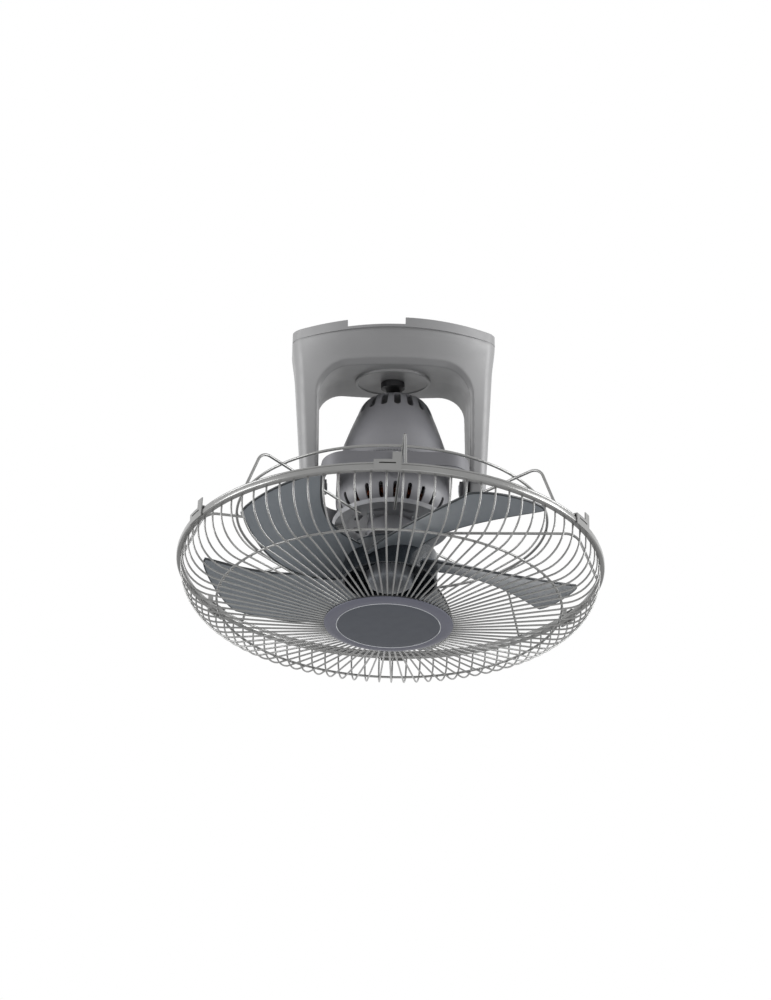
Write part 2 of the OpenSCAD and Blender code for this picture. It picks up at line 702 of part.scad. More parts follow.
// Flanged bushes in the ring, running on the leg bolts
module leg_bushes() color(BLACK) in_ring() for (s = [-1, 1]) difference() {
    union() {
        translate([s * (ring_inner - boss_in), 0, 0]) facing(s)
            cylinder(r = leg_bush_r, h = leg_flange_x - ring_inner + boss_in);
        translate([s * leg_flange_x, 0, 0]) facing(s)
            cylinder(r = ear_r, h = arch_w / 2 - turn_gap - leg_flange_x);
    }
    translate([s * (ring_inner - boss_in - 1), 0, 0]) facing(s) cylinder(r = bolt_r + run_clear, h = 20);
}

bolt_head_r = 7;
bolt_head_h = 3.5;
bolt_head_x = yoke_pivot_w / 2 - bolt_head_h - 1;

// Shouldered bolts through the legs, one into each side of the ring
module leg_bolts() color(STEEL) at_gimbal() for (s = [-1, 1]) translate([s * (bolt_head_x + seat_gap), 0, 0])
    facing(s) difference() {
        union() {
            cylinder(r = bolt_head_r, h = bolt_head_h - 0.5);
            translate([0, 0, -bolt_l]) cylinder(r = bolt_r, h = bolt_l + EPS, $fn = 48);
        }
        translate([0, 0, 1]) linear_extrude(bolt_head_h) rotate([0, 0, 30]) circle(r = 3.4, $fn = 6);
    }

bolt_l = bolt_head_x - ring_inner + boss_in + 1;
ring_screw_r = 2.5;
ring_screw_head_r = 4.5;
ring_screw_head_h = 2;

// Pivot screws at the front and back of the ring; their tips stop short of the motor
module ring_screws() color(STEEL) in_ring() for (s = [-1, 1])
    translate([0, s * (ring_half_d + ring_bead + seat_gap), 0]) rotate([-s * 90, 0, 0])
        pan_screw(ring_screw_r, ring_wall + ring_bead + seat_gap, ring_screw_head_r, ring_screw_head_h);

// ---- Motor housings --------------------------------------------------------------------------

bell_foot_r = motor_r - 1;
bell_slope = (bell_foot_r - bell_top_r) / (bell_top_h - seam_h);
bell_shoulder_in = 4.5;

// Outer radius of the upper housing at height h: a cone with a rounded shoulder
function bell(h) =
    let (up = max(0, h - bell_top_h + bell_shoulder_h) / bell_shoulder_h)
    bell_top_r + bell_slope * (bell_top_h - h) - bell_shoulder_in * (1 - sqrt(max(0, 1 - up * up)));
function bell_inner(h) = min(bell(h) - motor_wall, spigot_r - spigot_wall);

shoulder_top = 16;
shoulder_span = 36;

// Outer radius of the lower housing at depth d below the gimbal centre
function bowl(d) = motor_r * pow(1 - pow(max(0, d - shoulder_top) / shoulder_span, 2.5), 0.4);

shoulder_steps = 8;
bowl_steps = 10;
bowl_depths = [for (i = [0:bowl_steps]) shoulder_top + (motor_floor - shoulder_top) * i / bowl_steps];
spigot_h = 8;
spigot_r = motor_r - motor_wall - seat_gap;
spigot_wall = 2;
ledge_h = bell_top_h - (spigot_r - spigot_wall + motor_wall - bell_top_r) / bell_slope;
bell_heights = [seam_h, ledge_h, for (i = [0:shoulder_steps])
    bell_top_h - bell_shoulder_h * (1 - sin(90 * i / shoulder_steps))];
foot_flange_h = 2.5;
upper_slot_l = 15;
upper_slot_drop = 7;

module upper_housing() color(SATIN) in_head() difference() {
    union() {
        turned([for (h = bell_heights) [bell(h), h], [0, bell_top_h], [0, seam_h]]);
        translate([0, 0, seam_h - spigot_h]) cylinder(r = spigot_r, h = spigot_h + EPS);
        translate([0, 0, seam_h + seat_gap]) cylinder(r = motor_r - 0.5, h = foot_flange_h);
    }
    turned([for (h = bell_heights) [bell_inner(h), min(h, bell_top_h - motor_wall)],
        [0, bell_top_h - motor_wall], [0, seam_h - spigot_h - 1], [bell_inner(seam_h), seam_h - spigot_h - 1]]);
    translate([0, 0, bell_top_h - motor_wall - 1])
        cylinder(r = orbit_shaft_r + bush_wall + EPS, h = motor_wall + 2);
    ring_of(upper_slots, 10) translate([bell(bell_top_h - upper_slot_drop), 0, bell_top_h - upper_slot_drop])
        rotate([0, 52, 0]) translate([0, 0, -8]) slot(upper_slot_l, slot_gap, 24);
    for (a = housing_screw_turns) rotate([0, 0, a]) translate([bell_inner(seam_h) - 1, 0, housing_screw_h])
        facing(1) cylinder(r = housing_screw_r + seat_gap, h = 12, $fn = 32);
}

pocket_w = 15;
pocket_drop = 13.5;
lower_slot_l = 17;
lower_slot_depth = 31;
rib_count = 8;

module lower_housing() color(SATIN) in_head() difference() {
    union() {
        difference() {
            turned([[0, seam_h], [motor_r, seam_h], for (d = bowl_depths) [bowl(d), -d], [0, -motor_floor]]);
            turned([[0, seam_h + 1], [motor_r - motor_wall, seam_h + 1],
                for (d = bowl_depths) [bowl(d) - motor_wall, max(-d, -motor_floor + motor_wall)],
                [0, -motor_floor + motor_wall]]);
        }
        translate([0, 0, -neck_end]) cylinder(r = neck_r, h = neck_end - motor_floor + EPS);
        ring_of(rib_count, 7.5) translate([stator_r + seat_gap, -1.5, -stack_low])
            cube([motor_r - motor_wall - stator_r - seat_gap + EPS, 3, stack_h]);
        translate([0, 0, -neck_end + EPS]) cylinder(r = bearing_r + 3, h = neck_end - motor_floor + 2);
    }
    difference() {
        translate([0, 0, -neck_end + motor_wall])
            cylinder(r = neck_r - motor_wall, h = neck_end - motor_floor + 1);
        translate([0, 0, -neck_end]) cylinder(r = bearing_r + 3, h = neck_end - motor_floor + 2);
    }
    translate([0, 0, -neck_end - 1]) cylinder(r = bearing_r + EPS, h = neck_end);
    ring_of(lower_slots) translate([bowl(lower_slot_depth) - 3, 0, -lower_slot_depth]) rotate([0, 118, 0])
        translate([0, 0, -7]) slot(lower_slot_l, slot_gap, 24);
    for (s = [-1, 1]) translate([0, s * (motor_r - 1.6), 0]) rotate([-s * 90, 0, 0]) {
        cylinder(r = pocket_w / 2, h = 10);
        translate([0, s * pocket_drop, 0]) cylinder(r = pocket_w / 2, h = 10);
        translate([-pocket_w / 2, min(0, s * pocket_drop), 0]) cube([pocket_w, pocket_drop, 10]);
    }
    ring_of(4, 45) translate([guard_screw_ring, 0, -motor_floor - 1])
        cylinder(r = guard_screw_r + seat_gap, h = motor_wall + 2, $fn = 32);
    for (a = housing_screw_turns) rotate([0, 0, a]) translate([spigot_r - 1, 0, housing_screw_h]) facing(1) {
        cylinder(r = housing_screw_r + seat_gap, h = 12, $fn = 32);
        translate([0, 0, motor_r - 1.5 - spigot_r + 1]) cylinder(r = housing_head_r + 0.3, h = 12, $fn = 32);
    }
}

housing_screw_turns = [45, 135, 225, 315];
housing_screw_h = 8;
housing_screw_r = 1.6;
housing_head_r = 3;

// Flush screws that join the lower housing to the spigot of the upper one
module housing_screws() color(STEEL) in_head() for (a = housing_screw_turns) rotate([0, 0, a])
    translate([motor_r - 1.5 + seat_gap, 0, housing_screw_h]) facing(1)
        pan_screw(housing_screw_r, 4.5, housing_head_r, 1.2);

// ---- Motor -----------------------------------------------------------------------------------

stack_low = 20;
stack_top = stack_h - stack_low;
bearing_r = 9;
plate_seat_h = 13;
rear_bush_l = 12;
front_bush_l = 16;

// Plate across the foot of the upper housing that holds the rear bush
module bearing_plate() color(STEEL) in_head() difference() {
    union() {
        translate([0, 0, plate_seat_h]) cylinder(r = bell_inner(plate_seat_h + 2) - seat_gap, h = 2);
        translate([0, 0, plate_seat_h]) cylinder(r = bearing_r + 3, h = rear_bush_l);
    }
    translate([0, 0, plate_seat_h - 1]) cylinder(r = bearing_r + EPS, h = rear_bush_l + 2);
    ring_of(6) translate([33, 0, plate_seat_h - 1]) cylinder(r = 9, h = 4);
}

module rear_bush() color(BRONZE) in_head() translate([0, 0, plate_seat_h])
    tube(bearing_r, shaft_r + run_clear, rear_bush_l);

module front_bush() color(BRONZE) in_head() translate([0, 0, -neck_end])
    tube(bearing_r, shaft_r + run_clear, front_bush_l);

coil_count = 8;
coil_slot_w = 6;

module stator_core() color("#7d7f82") in_head() translate([0, 0, -stack_low]) difference() {
    tube(stator_r, stator_bore_r, stack_h);
    ring_of(coil_count) translate([stator_bore_r + 3, -coil_slot_w / 2, -1])
        cube([stator_r - stator_bore_r - 8, coil_slot_w, stack_h + 2]);
}

// Copper in the slots, joined by an end turn above and below the core
module windings() color(COPPER) in_head() {
    wire_l = stator_r - stator_bore_r - 8 - 2 * seat_gap;
    ring_of(coil_count) translate([stator_bore_r + 3 + seat_gap, -coil_slot_w / 2 + seat_gap, -stack_low - 2])
        cube([wire_l, coil_slot_w - 2 * seat_gap, stack_h + 4]);
    for (z = [-stack_low - seat_gap - 6, stack_top + seat_gap]) translate([0, 0, z])
        tube(stator_bore_r + 3 + wire_l, stator_bore_r + 3, 6);
}

shaft_top = plate_seat_h + rear_bush_l + 5;
shaft_bottom = hub_rim_depth + 4;
pin_depth = 70;
pin_r = 2;

module motor_shaft() color(STEEL) in_head() difference() {
    translate([0, 0, -shaft_bottom]) cylinder(r = shaft_r, h = shaft_bottom + shaft_top);
    translate([-shaft_r - 1, 0, -pin_depth]) facing(1) cylinder(r = pin_r + EPS, h = 2 * shaft_r + 2, $fn = 32);
}

module rotor_core() color("#9a9c9f") in_head() translate([0, 0, -stack_low]) difference() {
    union() {
        cylinder(r = stator_bore_r - air_gap, h = stack_h);
        for (z = [-5, stack_h - EPS]) translate([0, 0, z]) tube(stator_bore_r - 3, stator_bore_r - 9, 5 + EPS);
    }
    translate([0, 0, -1]) cylinder(r = shaft_r + EPS, h = stack_h + 2);
}

module drive_pin() color(STEEL) in_head() translate([-pin_l / 2, 0, -pin_depth]) facing(1)
    cylinder(r = pin_r, h = pin_l, $fn = 32);

pin_l = 24;

// ---- Rear guard ------------------------------------------------------------------------------

guard_screw_r = 2;
guard_screw_ring = 33;
plate_rim_r = 61;
plate_step_r = 47;
sheet_t = 1.8;
plate_inner_h = -motor_floor - seat_gap;
strut_start_r = 50;
strut_plate_h = plate_inner_h - 3.2;

// Height of a strut's centre line at a radius
function strut_h(r) = strut_plate_h - sheet_t - rear_wire_r - seat_gap
    - (plate_rim_r - r) * tan(strut_rise);

// Dished plate under the motor that the struts are welded to
module guard_plate() color(SATIN) in_head() difference() {
    turned([
        [neck_r + seat_gap, plate_inner_h], [plate_step_r, plate_inner_h],
        [plate_step_r + 3.5, strut_plate_h], [plate_rim_r - 1, strut_plate_h],
        [plate_rim_r + 1, strut_plate_h + 2.5],
        [plate_rim_r + 2.5, strut_plate_h + 2], [plate_rim_r, strut_plate_h - sheet_t],
        [plate_step_r + 2.7, strut_plate_h - sheet_t], [plate_step_r - 0.8, plate_inner_h - sheet_t],
        [neck_r + seat_gap, plate_inner_h - sheet_t]]);
    ring_of(4, 45) translate([guard_screw_ring, 0, plate_inner_h - sheet_t - 1])
        cylinder(r = guard_screw_r + seat_gap, h = sheet_t + 2, $fn = 32);
    ring_of(8, 22.5) translate([39, 0, plate_inner_h - sheet_t - 1]) rotate([0, 0, 90])
        slot(15, 6, sheet_t + 2);
}

module guard_screws() color(STEEL) in_head() ring_of(4, 45)
    translate([guard_screw_ring, 0, plate_inner_h - sheet_t - seat_gap]) rotate([180, 0, 0])
        pan_screw(guard_screw_r, sheet_t + motor_wall + 3, 4, 2.2);

rim_top = -rim_depth + rim_h / 2;
rim_bottom = rim_top - rim_h;
rear_rim_h = rim_top + rear_wire_r + seat_gap;
rear_rim_r = cage_r - rim_w / 2;
foot_r = rear_rim_r - 2 * rear_wire_r - seat_gap;
strut_corner_r = foot_r - strut_spread;
rear_ring_r = strut_corner_r - rear_ring_inset;

module rear_guard_struts() color(WIRE_GREY) in_head() ring_of(rear_struts, strut_turn)
    bent_rod([strut_start_r, strut_h(strut_start_r)], [strut_corner_r, strut_h(strut_corner_r)],
        [foot_r, rim_top + 0.6], strut_bend_r, rear_wire_r);

module rear_guard_rings() color(WIRE_GREY) in_head() {
    wire_ring(rear_ring_r, strut_h(rear_ring_r) + 2 * rear_wire_r + seat_gap, rear_wire_r);
    wire_ring(rear_rim_r, rear_rim_h, rear_wire_r);
}

// ---- Rim -------------------------------------------------------------------------------------

rim_inner_r = cage_r - rim_w;
rim_lip = 2.2;

// Inverted channel: an outer wall, a flat top and a short turned-down inner lip
module rim_band() color(WIRE_GREY) in_head() turned([
    [rim_inner_r, rim_top], [cage_r - 1, rim_top], [cage_r, rim_top - 1], [cage_r, rim_bottom],
    [cage_r - rim_t, rim_bottom], [cage_r - rim_t, rim_top - rim_t], [rim_inner_r + rim_t, rim_top - rim_t],
    [rim_inner_r + rim_t, rim_top - rim_lip], [rim_inner_r, rim_top - rim_lip]]);

clip_t = 1.2;
clip_face_r = cage_r + seat_gap;
clip_over = rear_rim_h + rear_wire_r + seat_gap;
clip_slit = [0.6 * clip_w, 1.4];

// Sheet clips that hook under the rim and over the rear guard's rim wire, each with an upright tab
module rim_clips() color(WIRE_GREY) in_head() ring_of(clip_count, clip_turn) {
    difference() {
        intersection() {
            turned([
                [clip_face_r, rim_bottom - seat_gap], [cage_r - rim_t, rim_bottom - seat_gap],
                [cage_r - rim_t, rim_bottom - seat_gap - clip_t],
                [clip_face_r + clip_t, rim_bottom - seat_gap - clip_t],
                [clip_face_r + clip_t, clip_over + clip_t], [rear_rim_r - rear_wire_r, clip_over + clip_t],
                [rear_rim_r - rear_wire_r, clip_over], [clip_face_r, clip_over]]);
            translate([cage_r / 2, -clip_w / 2, 2 * rim_bottom]) cube([cage_r, clip_w, -2 * rim_bottom]);
        }
        translate([cage_r - 1, -clip_slit.x / 2, rim_top]) cube([clip_t + 3, clip_slit.x, clip_slit.y]);
    }
    intersection() {
        translate([0, 0, clip_over]) tube(clip_face_r + clip_t, clip_face_r, rim_top + clip_tab_h - clip_over);
        translate([cage_r / 2, clip_w / 2 - clip_tab_w, 2 * rim_bottom])
            cube([cage_r, clip_tab_w, -2 * rim_bottom]);
    }
}

// ---- Front guard -----------------------------------------------------------------------------

wire_top_r = cage_r - rim_t - front_wire_r - seat_gap;
wire_foot_r = 54;

// Height of a front wire's centre line at a radius, on its straight run
function front_h(r) = -front_depth + (r - badge_r) * tan(front_cone);

// Radius and height of the middle of each front wire's bend
front_bend_run = front_bend_r * tan(45 - front_cone / 2);
front_bend_c = [wire_top_r - front_bend_r, front_h(wire_top_r) - front_bend_run * sin(front_cone)
    + front_bend_r * cos(front_cone)];
front_ring_r = cage_r - front_ring_inset;
ring_wire_r = front_wire_r + 0.25;

// Height of a ring that rests inside the front wires, on their straight run or in their bend
function rest_h(r) =
    let (off = front_wire_r + ring_wire_r + seat_gap,
         along = r - front_bend_c.x)
    along < (front_bend_r - off) * sin(front_cone)
        ? front_h(r) + off / cos(front_cone)
        : front_bend_c.y - sqrt(max(0, pow(front_bend_r - off, 2) - along * along));

module front_guard_wires() color(WIRE_GREY) in_head() ring_of(front_wires)
    bent_rod([wire_foot_r, front_h(wire_foot_r)], [wire_top_r, front_h(wire_top_r)],
        [wire_top_r, rim_top - rim_t - seat_gap], front_bend_r, front_wire_r);

rim_ring_wire_r = 1.25;

module front_guard_rings() color(WIRE_GREY) in_head() {
    wire_ring(front_ring_r, rest_h(front_ring_r), ring_wire_r);
    wire_ring(wire_top_r - front_wire_r - rim_ring_wire_r - seat_gap,
        rim_top - rim_lip - rim_ring_wire_r - seat_gap, rim_ring_wire_r);
}

// ---- Badge -----------------------------------------------------------------------------------

grip = (front_wire_r + seat_gap) / cos(front_cone);
back_r = 62;
back_t = 2;
badge_edge_h = front_h(badge_r) - grip;
trim_r = 56;
trim_w = 2;

// Height of the badge's outer face at a radius
function badge_face(r) = badge_edge_h - 3.5 - badge_dome * sqrt(max(0, 1 - pow(r / badge_r, 2)));

face_radii = [for (i = [0:10]) trim_r * i / 10];

// Plate that clamps the wires' inner ends from inside
module badge_back() color(BLACK) in_head() turned([
    [0, front_h(wire_foot_r) + grip], [wire_foot_r - 2, front_h(wire_foot_r - 2) + grip],
    [back_r, front_h(back_r) + grip], [back_r, front_h(back_r) + grip + back_t],
    [0, front_h(back_r) + grip + back_t]]);

// Domed cap with a broad bevelled edge and a groove for the trim ring
module badge_cap() color("#50525f") in_head() turned([
    [0, front_h(wire_foot_r) - grip], [wire_foot_r, front_h(wire_foot_r) - grip], [badge_r, badge_edge_h],
    [badge_r, badge_edge_h - 1.5], [badge_r - 3, badge_face(badge_r - 3)],
    [trim_r + trim_w / 2, badge_face(trim_r)], [trim_r + trim_w / 2, badge_face(trim_r) + 1],
    [trim_r - trim_w / 2, badge_face(trim_r) + 1],
    for (i = [10:-1:0]) [min(face_radii[i], trim_r - trim_w / 2), badge_face(face_radii[i])]]);

module badge_trim() color(STEEL) in_head() translate([0, 0, badge_face(trim_r)])
    tube(trim_r + trim_w / 2 - seat_gap, trim_r - trim_w / 2 + seat_gap, 1 - seat_gap);

// ---- Impeller --------------------------------------------------------------------------------

hub_boss_r = 11;
hub_boss_top = neck_end + 4;
hub_boss_low = 96;
dome_rise = 14;
tip_r = cage_r - tip_gap;
blade_r0 = hub_r - hub_wall / 2;
tip_round = 3;
camber = 4;
belly = 7.5;
N_SPAN = 10;
N_CHORD = 10;

dome_steps = 8;

// Hub's domed back: height of its outside at a radius
function dome_h(r) = -hub_rim_depth + hub_wall_h + dome_rise * sqrt(max(0, 1 - pow(r / hub_r, 2)));

dome_radii = [for (i = [0:dome_steps]) hub_r * cos(80 * i / dome_steps)];

module hub() difference() {
    union() {
        turned([[0, -hub_rim_depth], [hub_r, -hub_rim_depth],
            for (r = dome_radii) [r, dome_h(r)], [0, dome_h(0)]]);
        translate([0, 0, -hub_boss_low]) cylinder(r = hub_boss_r, h = hub_boss_low - hub_boss_top);
    }
    difference() {
        turned([[0, -hub_rim_depth - 1], [hub_r - hub_wall, -hub_rim_depth - 1],
            for (r = dome_radii) [max(0, r - hub_wall), dome_h(r) - hub_wall], [0, dome_h(0) - hub_wall]]);
        translate([0, 0, -hub_boss_low]) cylinder(r = hub_boss_r, h = hub_boss_low);
    }
}

// Point of a blade: u runs from root to tip, s across the chord from its trailing to its leading edge,
// side is +1 above and -1 below. The blade sags by belly and pitches more in the middle of its length.
function blade_point(u, s, side) =
    let (across = 2 * s - 1,
         reach = tip_r - tip_round * pow(abs(across), 8),
         r = blade_r0 + u * (reach - blade_r0),
         a = across / 2 * (blade_root_w + (blade_tip_w - blade_root_w) * pow(u, 0.8)),
         pitch = blade_root_pitch + (blade_tip_pitch - blade_root_pitch) * u
             + blade_twist * sin(180 * pow(u, 0.7)),
         h = -blade_root_depth - (blade_tip_depth - blade_root_depth) * u - belly * sin(180 * u)
             + a * sin(pitch) + camber * (1 - across * across) * (1 - u / 2) + side * blade_t / 2,
         turn = a * cos(pitch) / r * 180 / PI - blade_sweep * pow(1 - u, 1.15))
    [r * cos(turn), r * sin(turn), h];

// Twisted, cambered blade as one closed skin
module blade() {
    nu = N_SPAN + 1;
    ns = N_CHORD + 1;
    points = [for (side = [1, -1], i = [0:N_SPAN], j = [0:N_CHORD])
        blade_point(i / N_SPAN, j / N_CHORD, side)];
    top = function(i, j) i * ns + j;
    low = function(i, j) nu * ns + i * ns + j;
    faces = [
        for (i = [0:N_SPAN - 1], j = [0:N_CHORD - 1]) each [
            [top(i, j), top(i, j + 1), top(i + 1, j + 1)], [top(i, j), top(i + 1, j + 1), top(i + 1, j)],
            [low(i, j), low(i + 1, j + 1), low(i, j + 1)], [low(i, j), low(i + 1, j), low(i + 1, j + 1)]],
        for (i = [0:N_SPAN - 1]) each [
            [top(i, 0), top(i + 1, 0), low(i + 1, 0)], [top(i, 0), low(i + 1, 0), low(i, 0)],
            [top(i, N_CHORD), low(i, N_CHORD), low(i + 1, N_CHORD)],
            [top(i, N_CHORD), low(i + 1, N_CHORD), top(i + 1, N_CHORD)]],
        for (j = [0:N_CHORD - 1]) each [
            [top(0, j), low(0, j), low(0, j + 1)], [top(0, j), low(0, j + 1), top(0, j + 1)],
            [top(N_SPAN, j), low(N_SPAN, j + 1), low(N_SPAN, j)],
            [top(N_SPAN, j), top(N_SPAN, j + 1), low(N_SPAN, j + 1)]]];
    polyhedron(points, faces);
}

module impeller() color(SLATE) in_head() difference() {
    union() {
        hub();
        ring_of(blade_count, blade_turn) blade();
    }
    translate([0, 0, -hub_boss_low - 1]) cylinder(r = shaft_r + EPS, h = hub_boss_low);
    translate([-pin_l / 2 - seat_gap, -pin_r - seat_gap, -pin_depth - pin_r - seat_gap])
        cube([pin_l + 2 * seat_gap, 2 * (pin_r + seat_gap), pin_depth]);
}

knob_neck_r = 13;
knob_neck_h = 3;
knob_top = hub_boss_low + seat_gap;
knob_skirt_h = 9.5;
knob_dome_h = 7;
grip_ribs = 12;
grip_rib_r = 1.2;

// Domed knob screwed on the shaft's end inside the hub
module impeller_knob() color(SMOKE) in_head() difference() {
    union() {
        translate([0, 0, -knob_top]) mirror([0, 0, 1]) turned([
            [0, 0], [knob_neck_r, 0], [knob_neck_r, knob_neck_h], [knob_r, knob_neck_h + 1],
            for (a = [0:15:90]) [knob_r * cos(a), knob_skirt_h + knob_dome_h * sin(a)]]);
        ring_of(grip_ribs) translate([knob_r, 0, -knob_top - knob_skirt_h])
            cylinder(r = grip_rib_r, h = knob_skirt_h - knob_neck_h - 1, $fn = 24);
    }
    translate([0, 0, -shaft_bottom - seat_gap]) cylinder(r = shaft_r + EPS, h = shaft_bottom);
}

// ---- Nodes -----------------------------------------------------------------------------------

ceiling_plate();
terminal_block();
yoke();
side_screws();
pivot_disc();
disc_screws();
crank_bush();
leg_bolts();
crank_lever();
crank_clip();
orbit_shaft();
orbit_wheel();
shaft_screw();
drive_pinion();
gimbal_ring();
leg_bushes();
ring_screws();
upper_housing();
lower_housing();
housing_screws();
bearing_plate();
rear_bush();
front_bush();
stator_core();
windings();
gear_plate();
orbit_motor();
orbit_bush();
guard_plate();
guard_screws();
rear_guard_struts();
rear_guard_rings();
rim_band();
rim_clips();
front_guard_wires();
front_guard_rings();
badge_back();
badge_cap();
badge_trim();
motor_shaft();
rotor_core();
impeller();
drive_pin();
impeller_knob();
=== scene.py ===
"""Looks of an orbital ceiling fan.

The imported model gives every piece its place. This script dresses it: a moulded yoke, a painted gimbal ring and
motor, welded wire guards, a flat bare badge and a five-bladed impeller of tinted plastic. Sizes in the classes
are millimetres and degrees, and meshes are made in metres in the frame of the model.
"""

import logging
from collections.abc import Callable, Sequence
from dataclasses import dataclass, field
from enum import Enum
from functools import cache
from math import atan2, copysign, cos, degrees, hypot, pi, radians, sin, sqrt, tan

import bmesh
import bpy
import numpy as np
from mathutils import Matrix, Vector


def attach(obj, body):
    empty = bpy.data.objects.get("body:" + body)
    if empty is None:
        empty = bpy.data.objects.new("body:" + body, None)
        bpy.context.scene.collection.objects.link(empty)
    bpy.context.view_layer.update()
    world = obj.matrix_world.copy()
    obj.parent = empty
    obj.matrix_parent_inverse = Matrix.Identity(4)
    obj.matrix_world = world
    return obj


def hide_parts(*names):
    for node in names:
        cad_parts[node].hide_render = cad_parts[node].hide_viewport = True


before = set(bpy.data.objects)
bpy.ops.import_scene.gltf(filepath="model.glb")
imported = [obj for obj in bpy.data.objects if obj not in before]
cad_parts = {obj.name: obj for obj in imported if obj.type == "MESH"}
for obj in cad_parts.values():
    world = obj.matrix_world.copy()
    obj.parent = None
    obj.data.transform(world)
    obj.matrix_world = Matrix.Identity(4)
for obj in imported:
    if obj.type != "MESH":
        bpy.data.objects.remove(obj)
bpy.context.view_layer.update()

LOG = logging.getLogger("fan")
MM = 0.001
MERGE = 0.01 * MM  # corners nearer than this are one
SHARP = 32.0  # edges of the model's nodes that turn by more than this stay sharp
AXIS_R = 0.001  # radius that stands for the axis, so that the corners of a pole merge

Piece = bpy.types.Object
Socket = bpy.types.NodeSocket
Grid = np.ndarray
Pair = tuple[float, float]
Triple = tuple[float, float, float]
Sizes = tuple[float, ...]


# ---- Frames and meshes ----


@dataclass(frozen=True)
class HeadFrame:
    """Frame of the leaning fan head: +Z runs up the motor's axis, with the gimbal centre at the origin."""

    gimbal_drop: float = 166.0
    lean_front: float = 11.5
    lean_side: float = 2.4

    def head(self) -> Matrix:
        """Place of the motor, cage and impeller.

        Returns:
            Matrix from the head's frame to the model's.
        """
        down = Matrix.Translation((0, 0, -self.gimbal_drop * MM))
        front = Matrix.Rotation(radians(-self.lean_front), 4, "X")
        return down @ front @ Matrix.Rotation(radians(self.lean_side), 4, "Y")


HEAD = HeadFrame()


def linked(name: str, data: bpy.types.ID) -> Piece:
    """Object at the origin of the scene.

    Args:
        name: name of the object.
        data: mesh, lamp or camera that it shows.
    Returns:
        The new object.
    """
    item = bpy.data.objects.new(name, data)
    bpy.context.scene.collection.objects.link(item)
    return item


def new_object(name: str, points: Sequence[Sequence[float]], faces: Sequence[Sequence[int]] = (),
               edges: Sequence[Sequence[int]] = (), place: Matrix | None = None) -> Piece:
    """Object made from points in millimetres.

    Args:
        name: name of the piece.
        points: corners in millimetres.
        faces: corner numbers of each face.
        edges: corner numbers of each loose edge.
        place: where the mesh goes; the object itself stays at the origin.
    Returns:
        The new object, linked to the scene.
    """
    mesh = bpy.data.meshes.new(name)
    mesh.from_pydata((np.asarray(points, float) * MM).tolist(), [list(e) for e in edges], [list(f) for f in faces])
    if place is not None:
        mesh.transform(place)
    mesh.update()
    return linked(name, mesh)


def path(name: str, points: Sequence[Triple]) -> Piece:
    """Object that is one line of edges through its points."""
    return new_object(name, points, edges=[(i, i + 1) for i in range(len(points) - 1)])


def shade(mesh: bpy.types.Mesh, sharp: float) -> None:
    """Shades a mesh smooth, apart from edges that turn by more than some degrees."""
    mesh.polygons.foreach_set("use_smooth", [True] * len(mesh.polygons))
    mesh.set_sharp_from_angle(angle=radians(sharp))


def clean(piece: Piece, sharp: float = 35.0) -> None:
    """Merges doubles, turns the faces outwards and shades smooth up to an angle.

    Args:
        piece: mesh object.
        sharp: edges that turn by more than this many degrees stay sharp.
    """
    work = bmesh.new()
    work.from_mesh(piece.data)
    bmesh.ops.remove_doubles(work, verts=work.verts, dist=MERGE)
    bmesh.ops.recalc_face_normals(work, faces=work.faces)
    work.to_mesh(piece.data)
    work.free()
    shade(piece.data, sharp)


def grid_faces(rows: int, columns: int, closed: bool = False) -> list[tuple[int, int, int, int]]:
    """Quads over a grid of points stored row by row.

    Args:
        rows: number of rows of points.
        columns: number of points in each row.
        closed: whether each row closes on itself.
    Returns:
        Corner numbers of each quad.
    """
    reach = columns if closed else columns - 1
    pairs = [(i * columns + j, i * columns + (j + 1) % columns) for i in range(rows - 1) for j in range(reach)]
    return [(a, b, b + columns, a + columns) for a, b in pairs]


def arc(centre: Pair, radius: float, start: float, end: float, steps: int) -> list[Pair]:
    """Points on an arc, from a first to a last angle in degrees."""
    turns = [radians(start + (end - start) * i / steps) for i in range(steps + 1)]
    return [(centre[0] + radius * cos(t), centre[1] + radius * sin(t)) for t in turns]


def turned(name: str, profile: Sequence[Pair], steps: int = 144, closed: bool = True,
           place: Matrix | None = None) -> Piece:
    """Solid of revolution.

    Args:
        name: name of the piece.
        profile: points as radius and height.
        steps: number of sectors.
        closed: whether the profile's last point joins its first.
        place: frame whose Z axis the profile turns about, if not the motor's axis.
    Returns:
        The new object.
    """
    line = [*profile, profile[0]] if closed else profile
    turns = [2 * pi * k / steps for k in range(steps)]
    points = [(r * cos(t), r * sin(t), h) for r, h in line for t in turns]
    home = HEAD.head() if place is None else place
    piece = new_object(name, points, grid_faces(len(line), steps, closed=True), place=home)
    clean(piece)
    return piece


# ---- Node trees ----


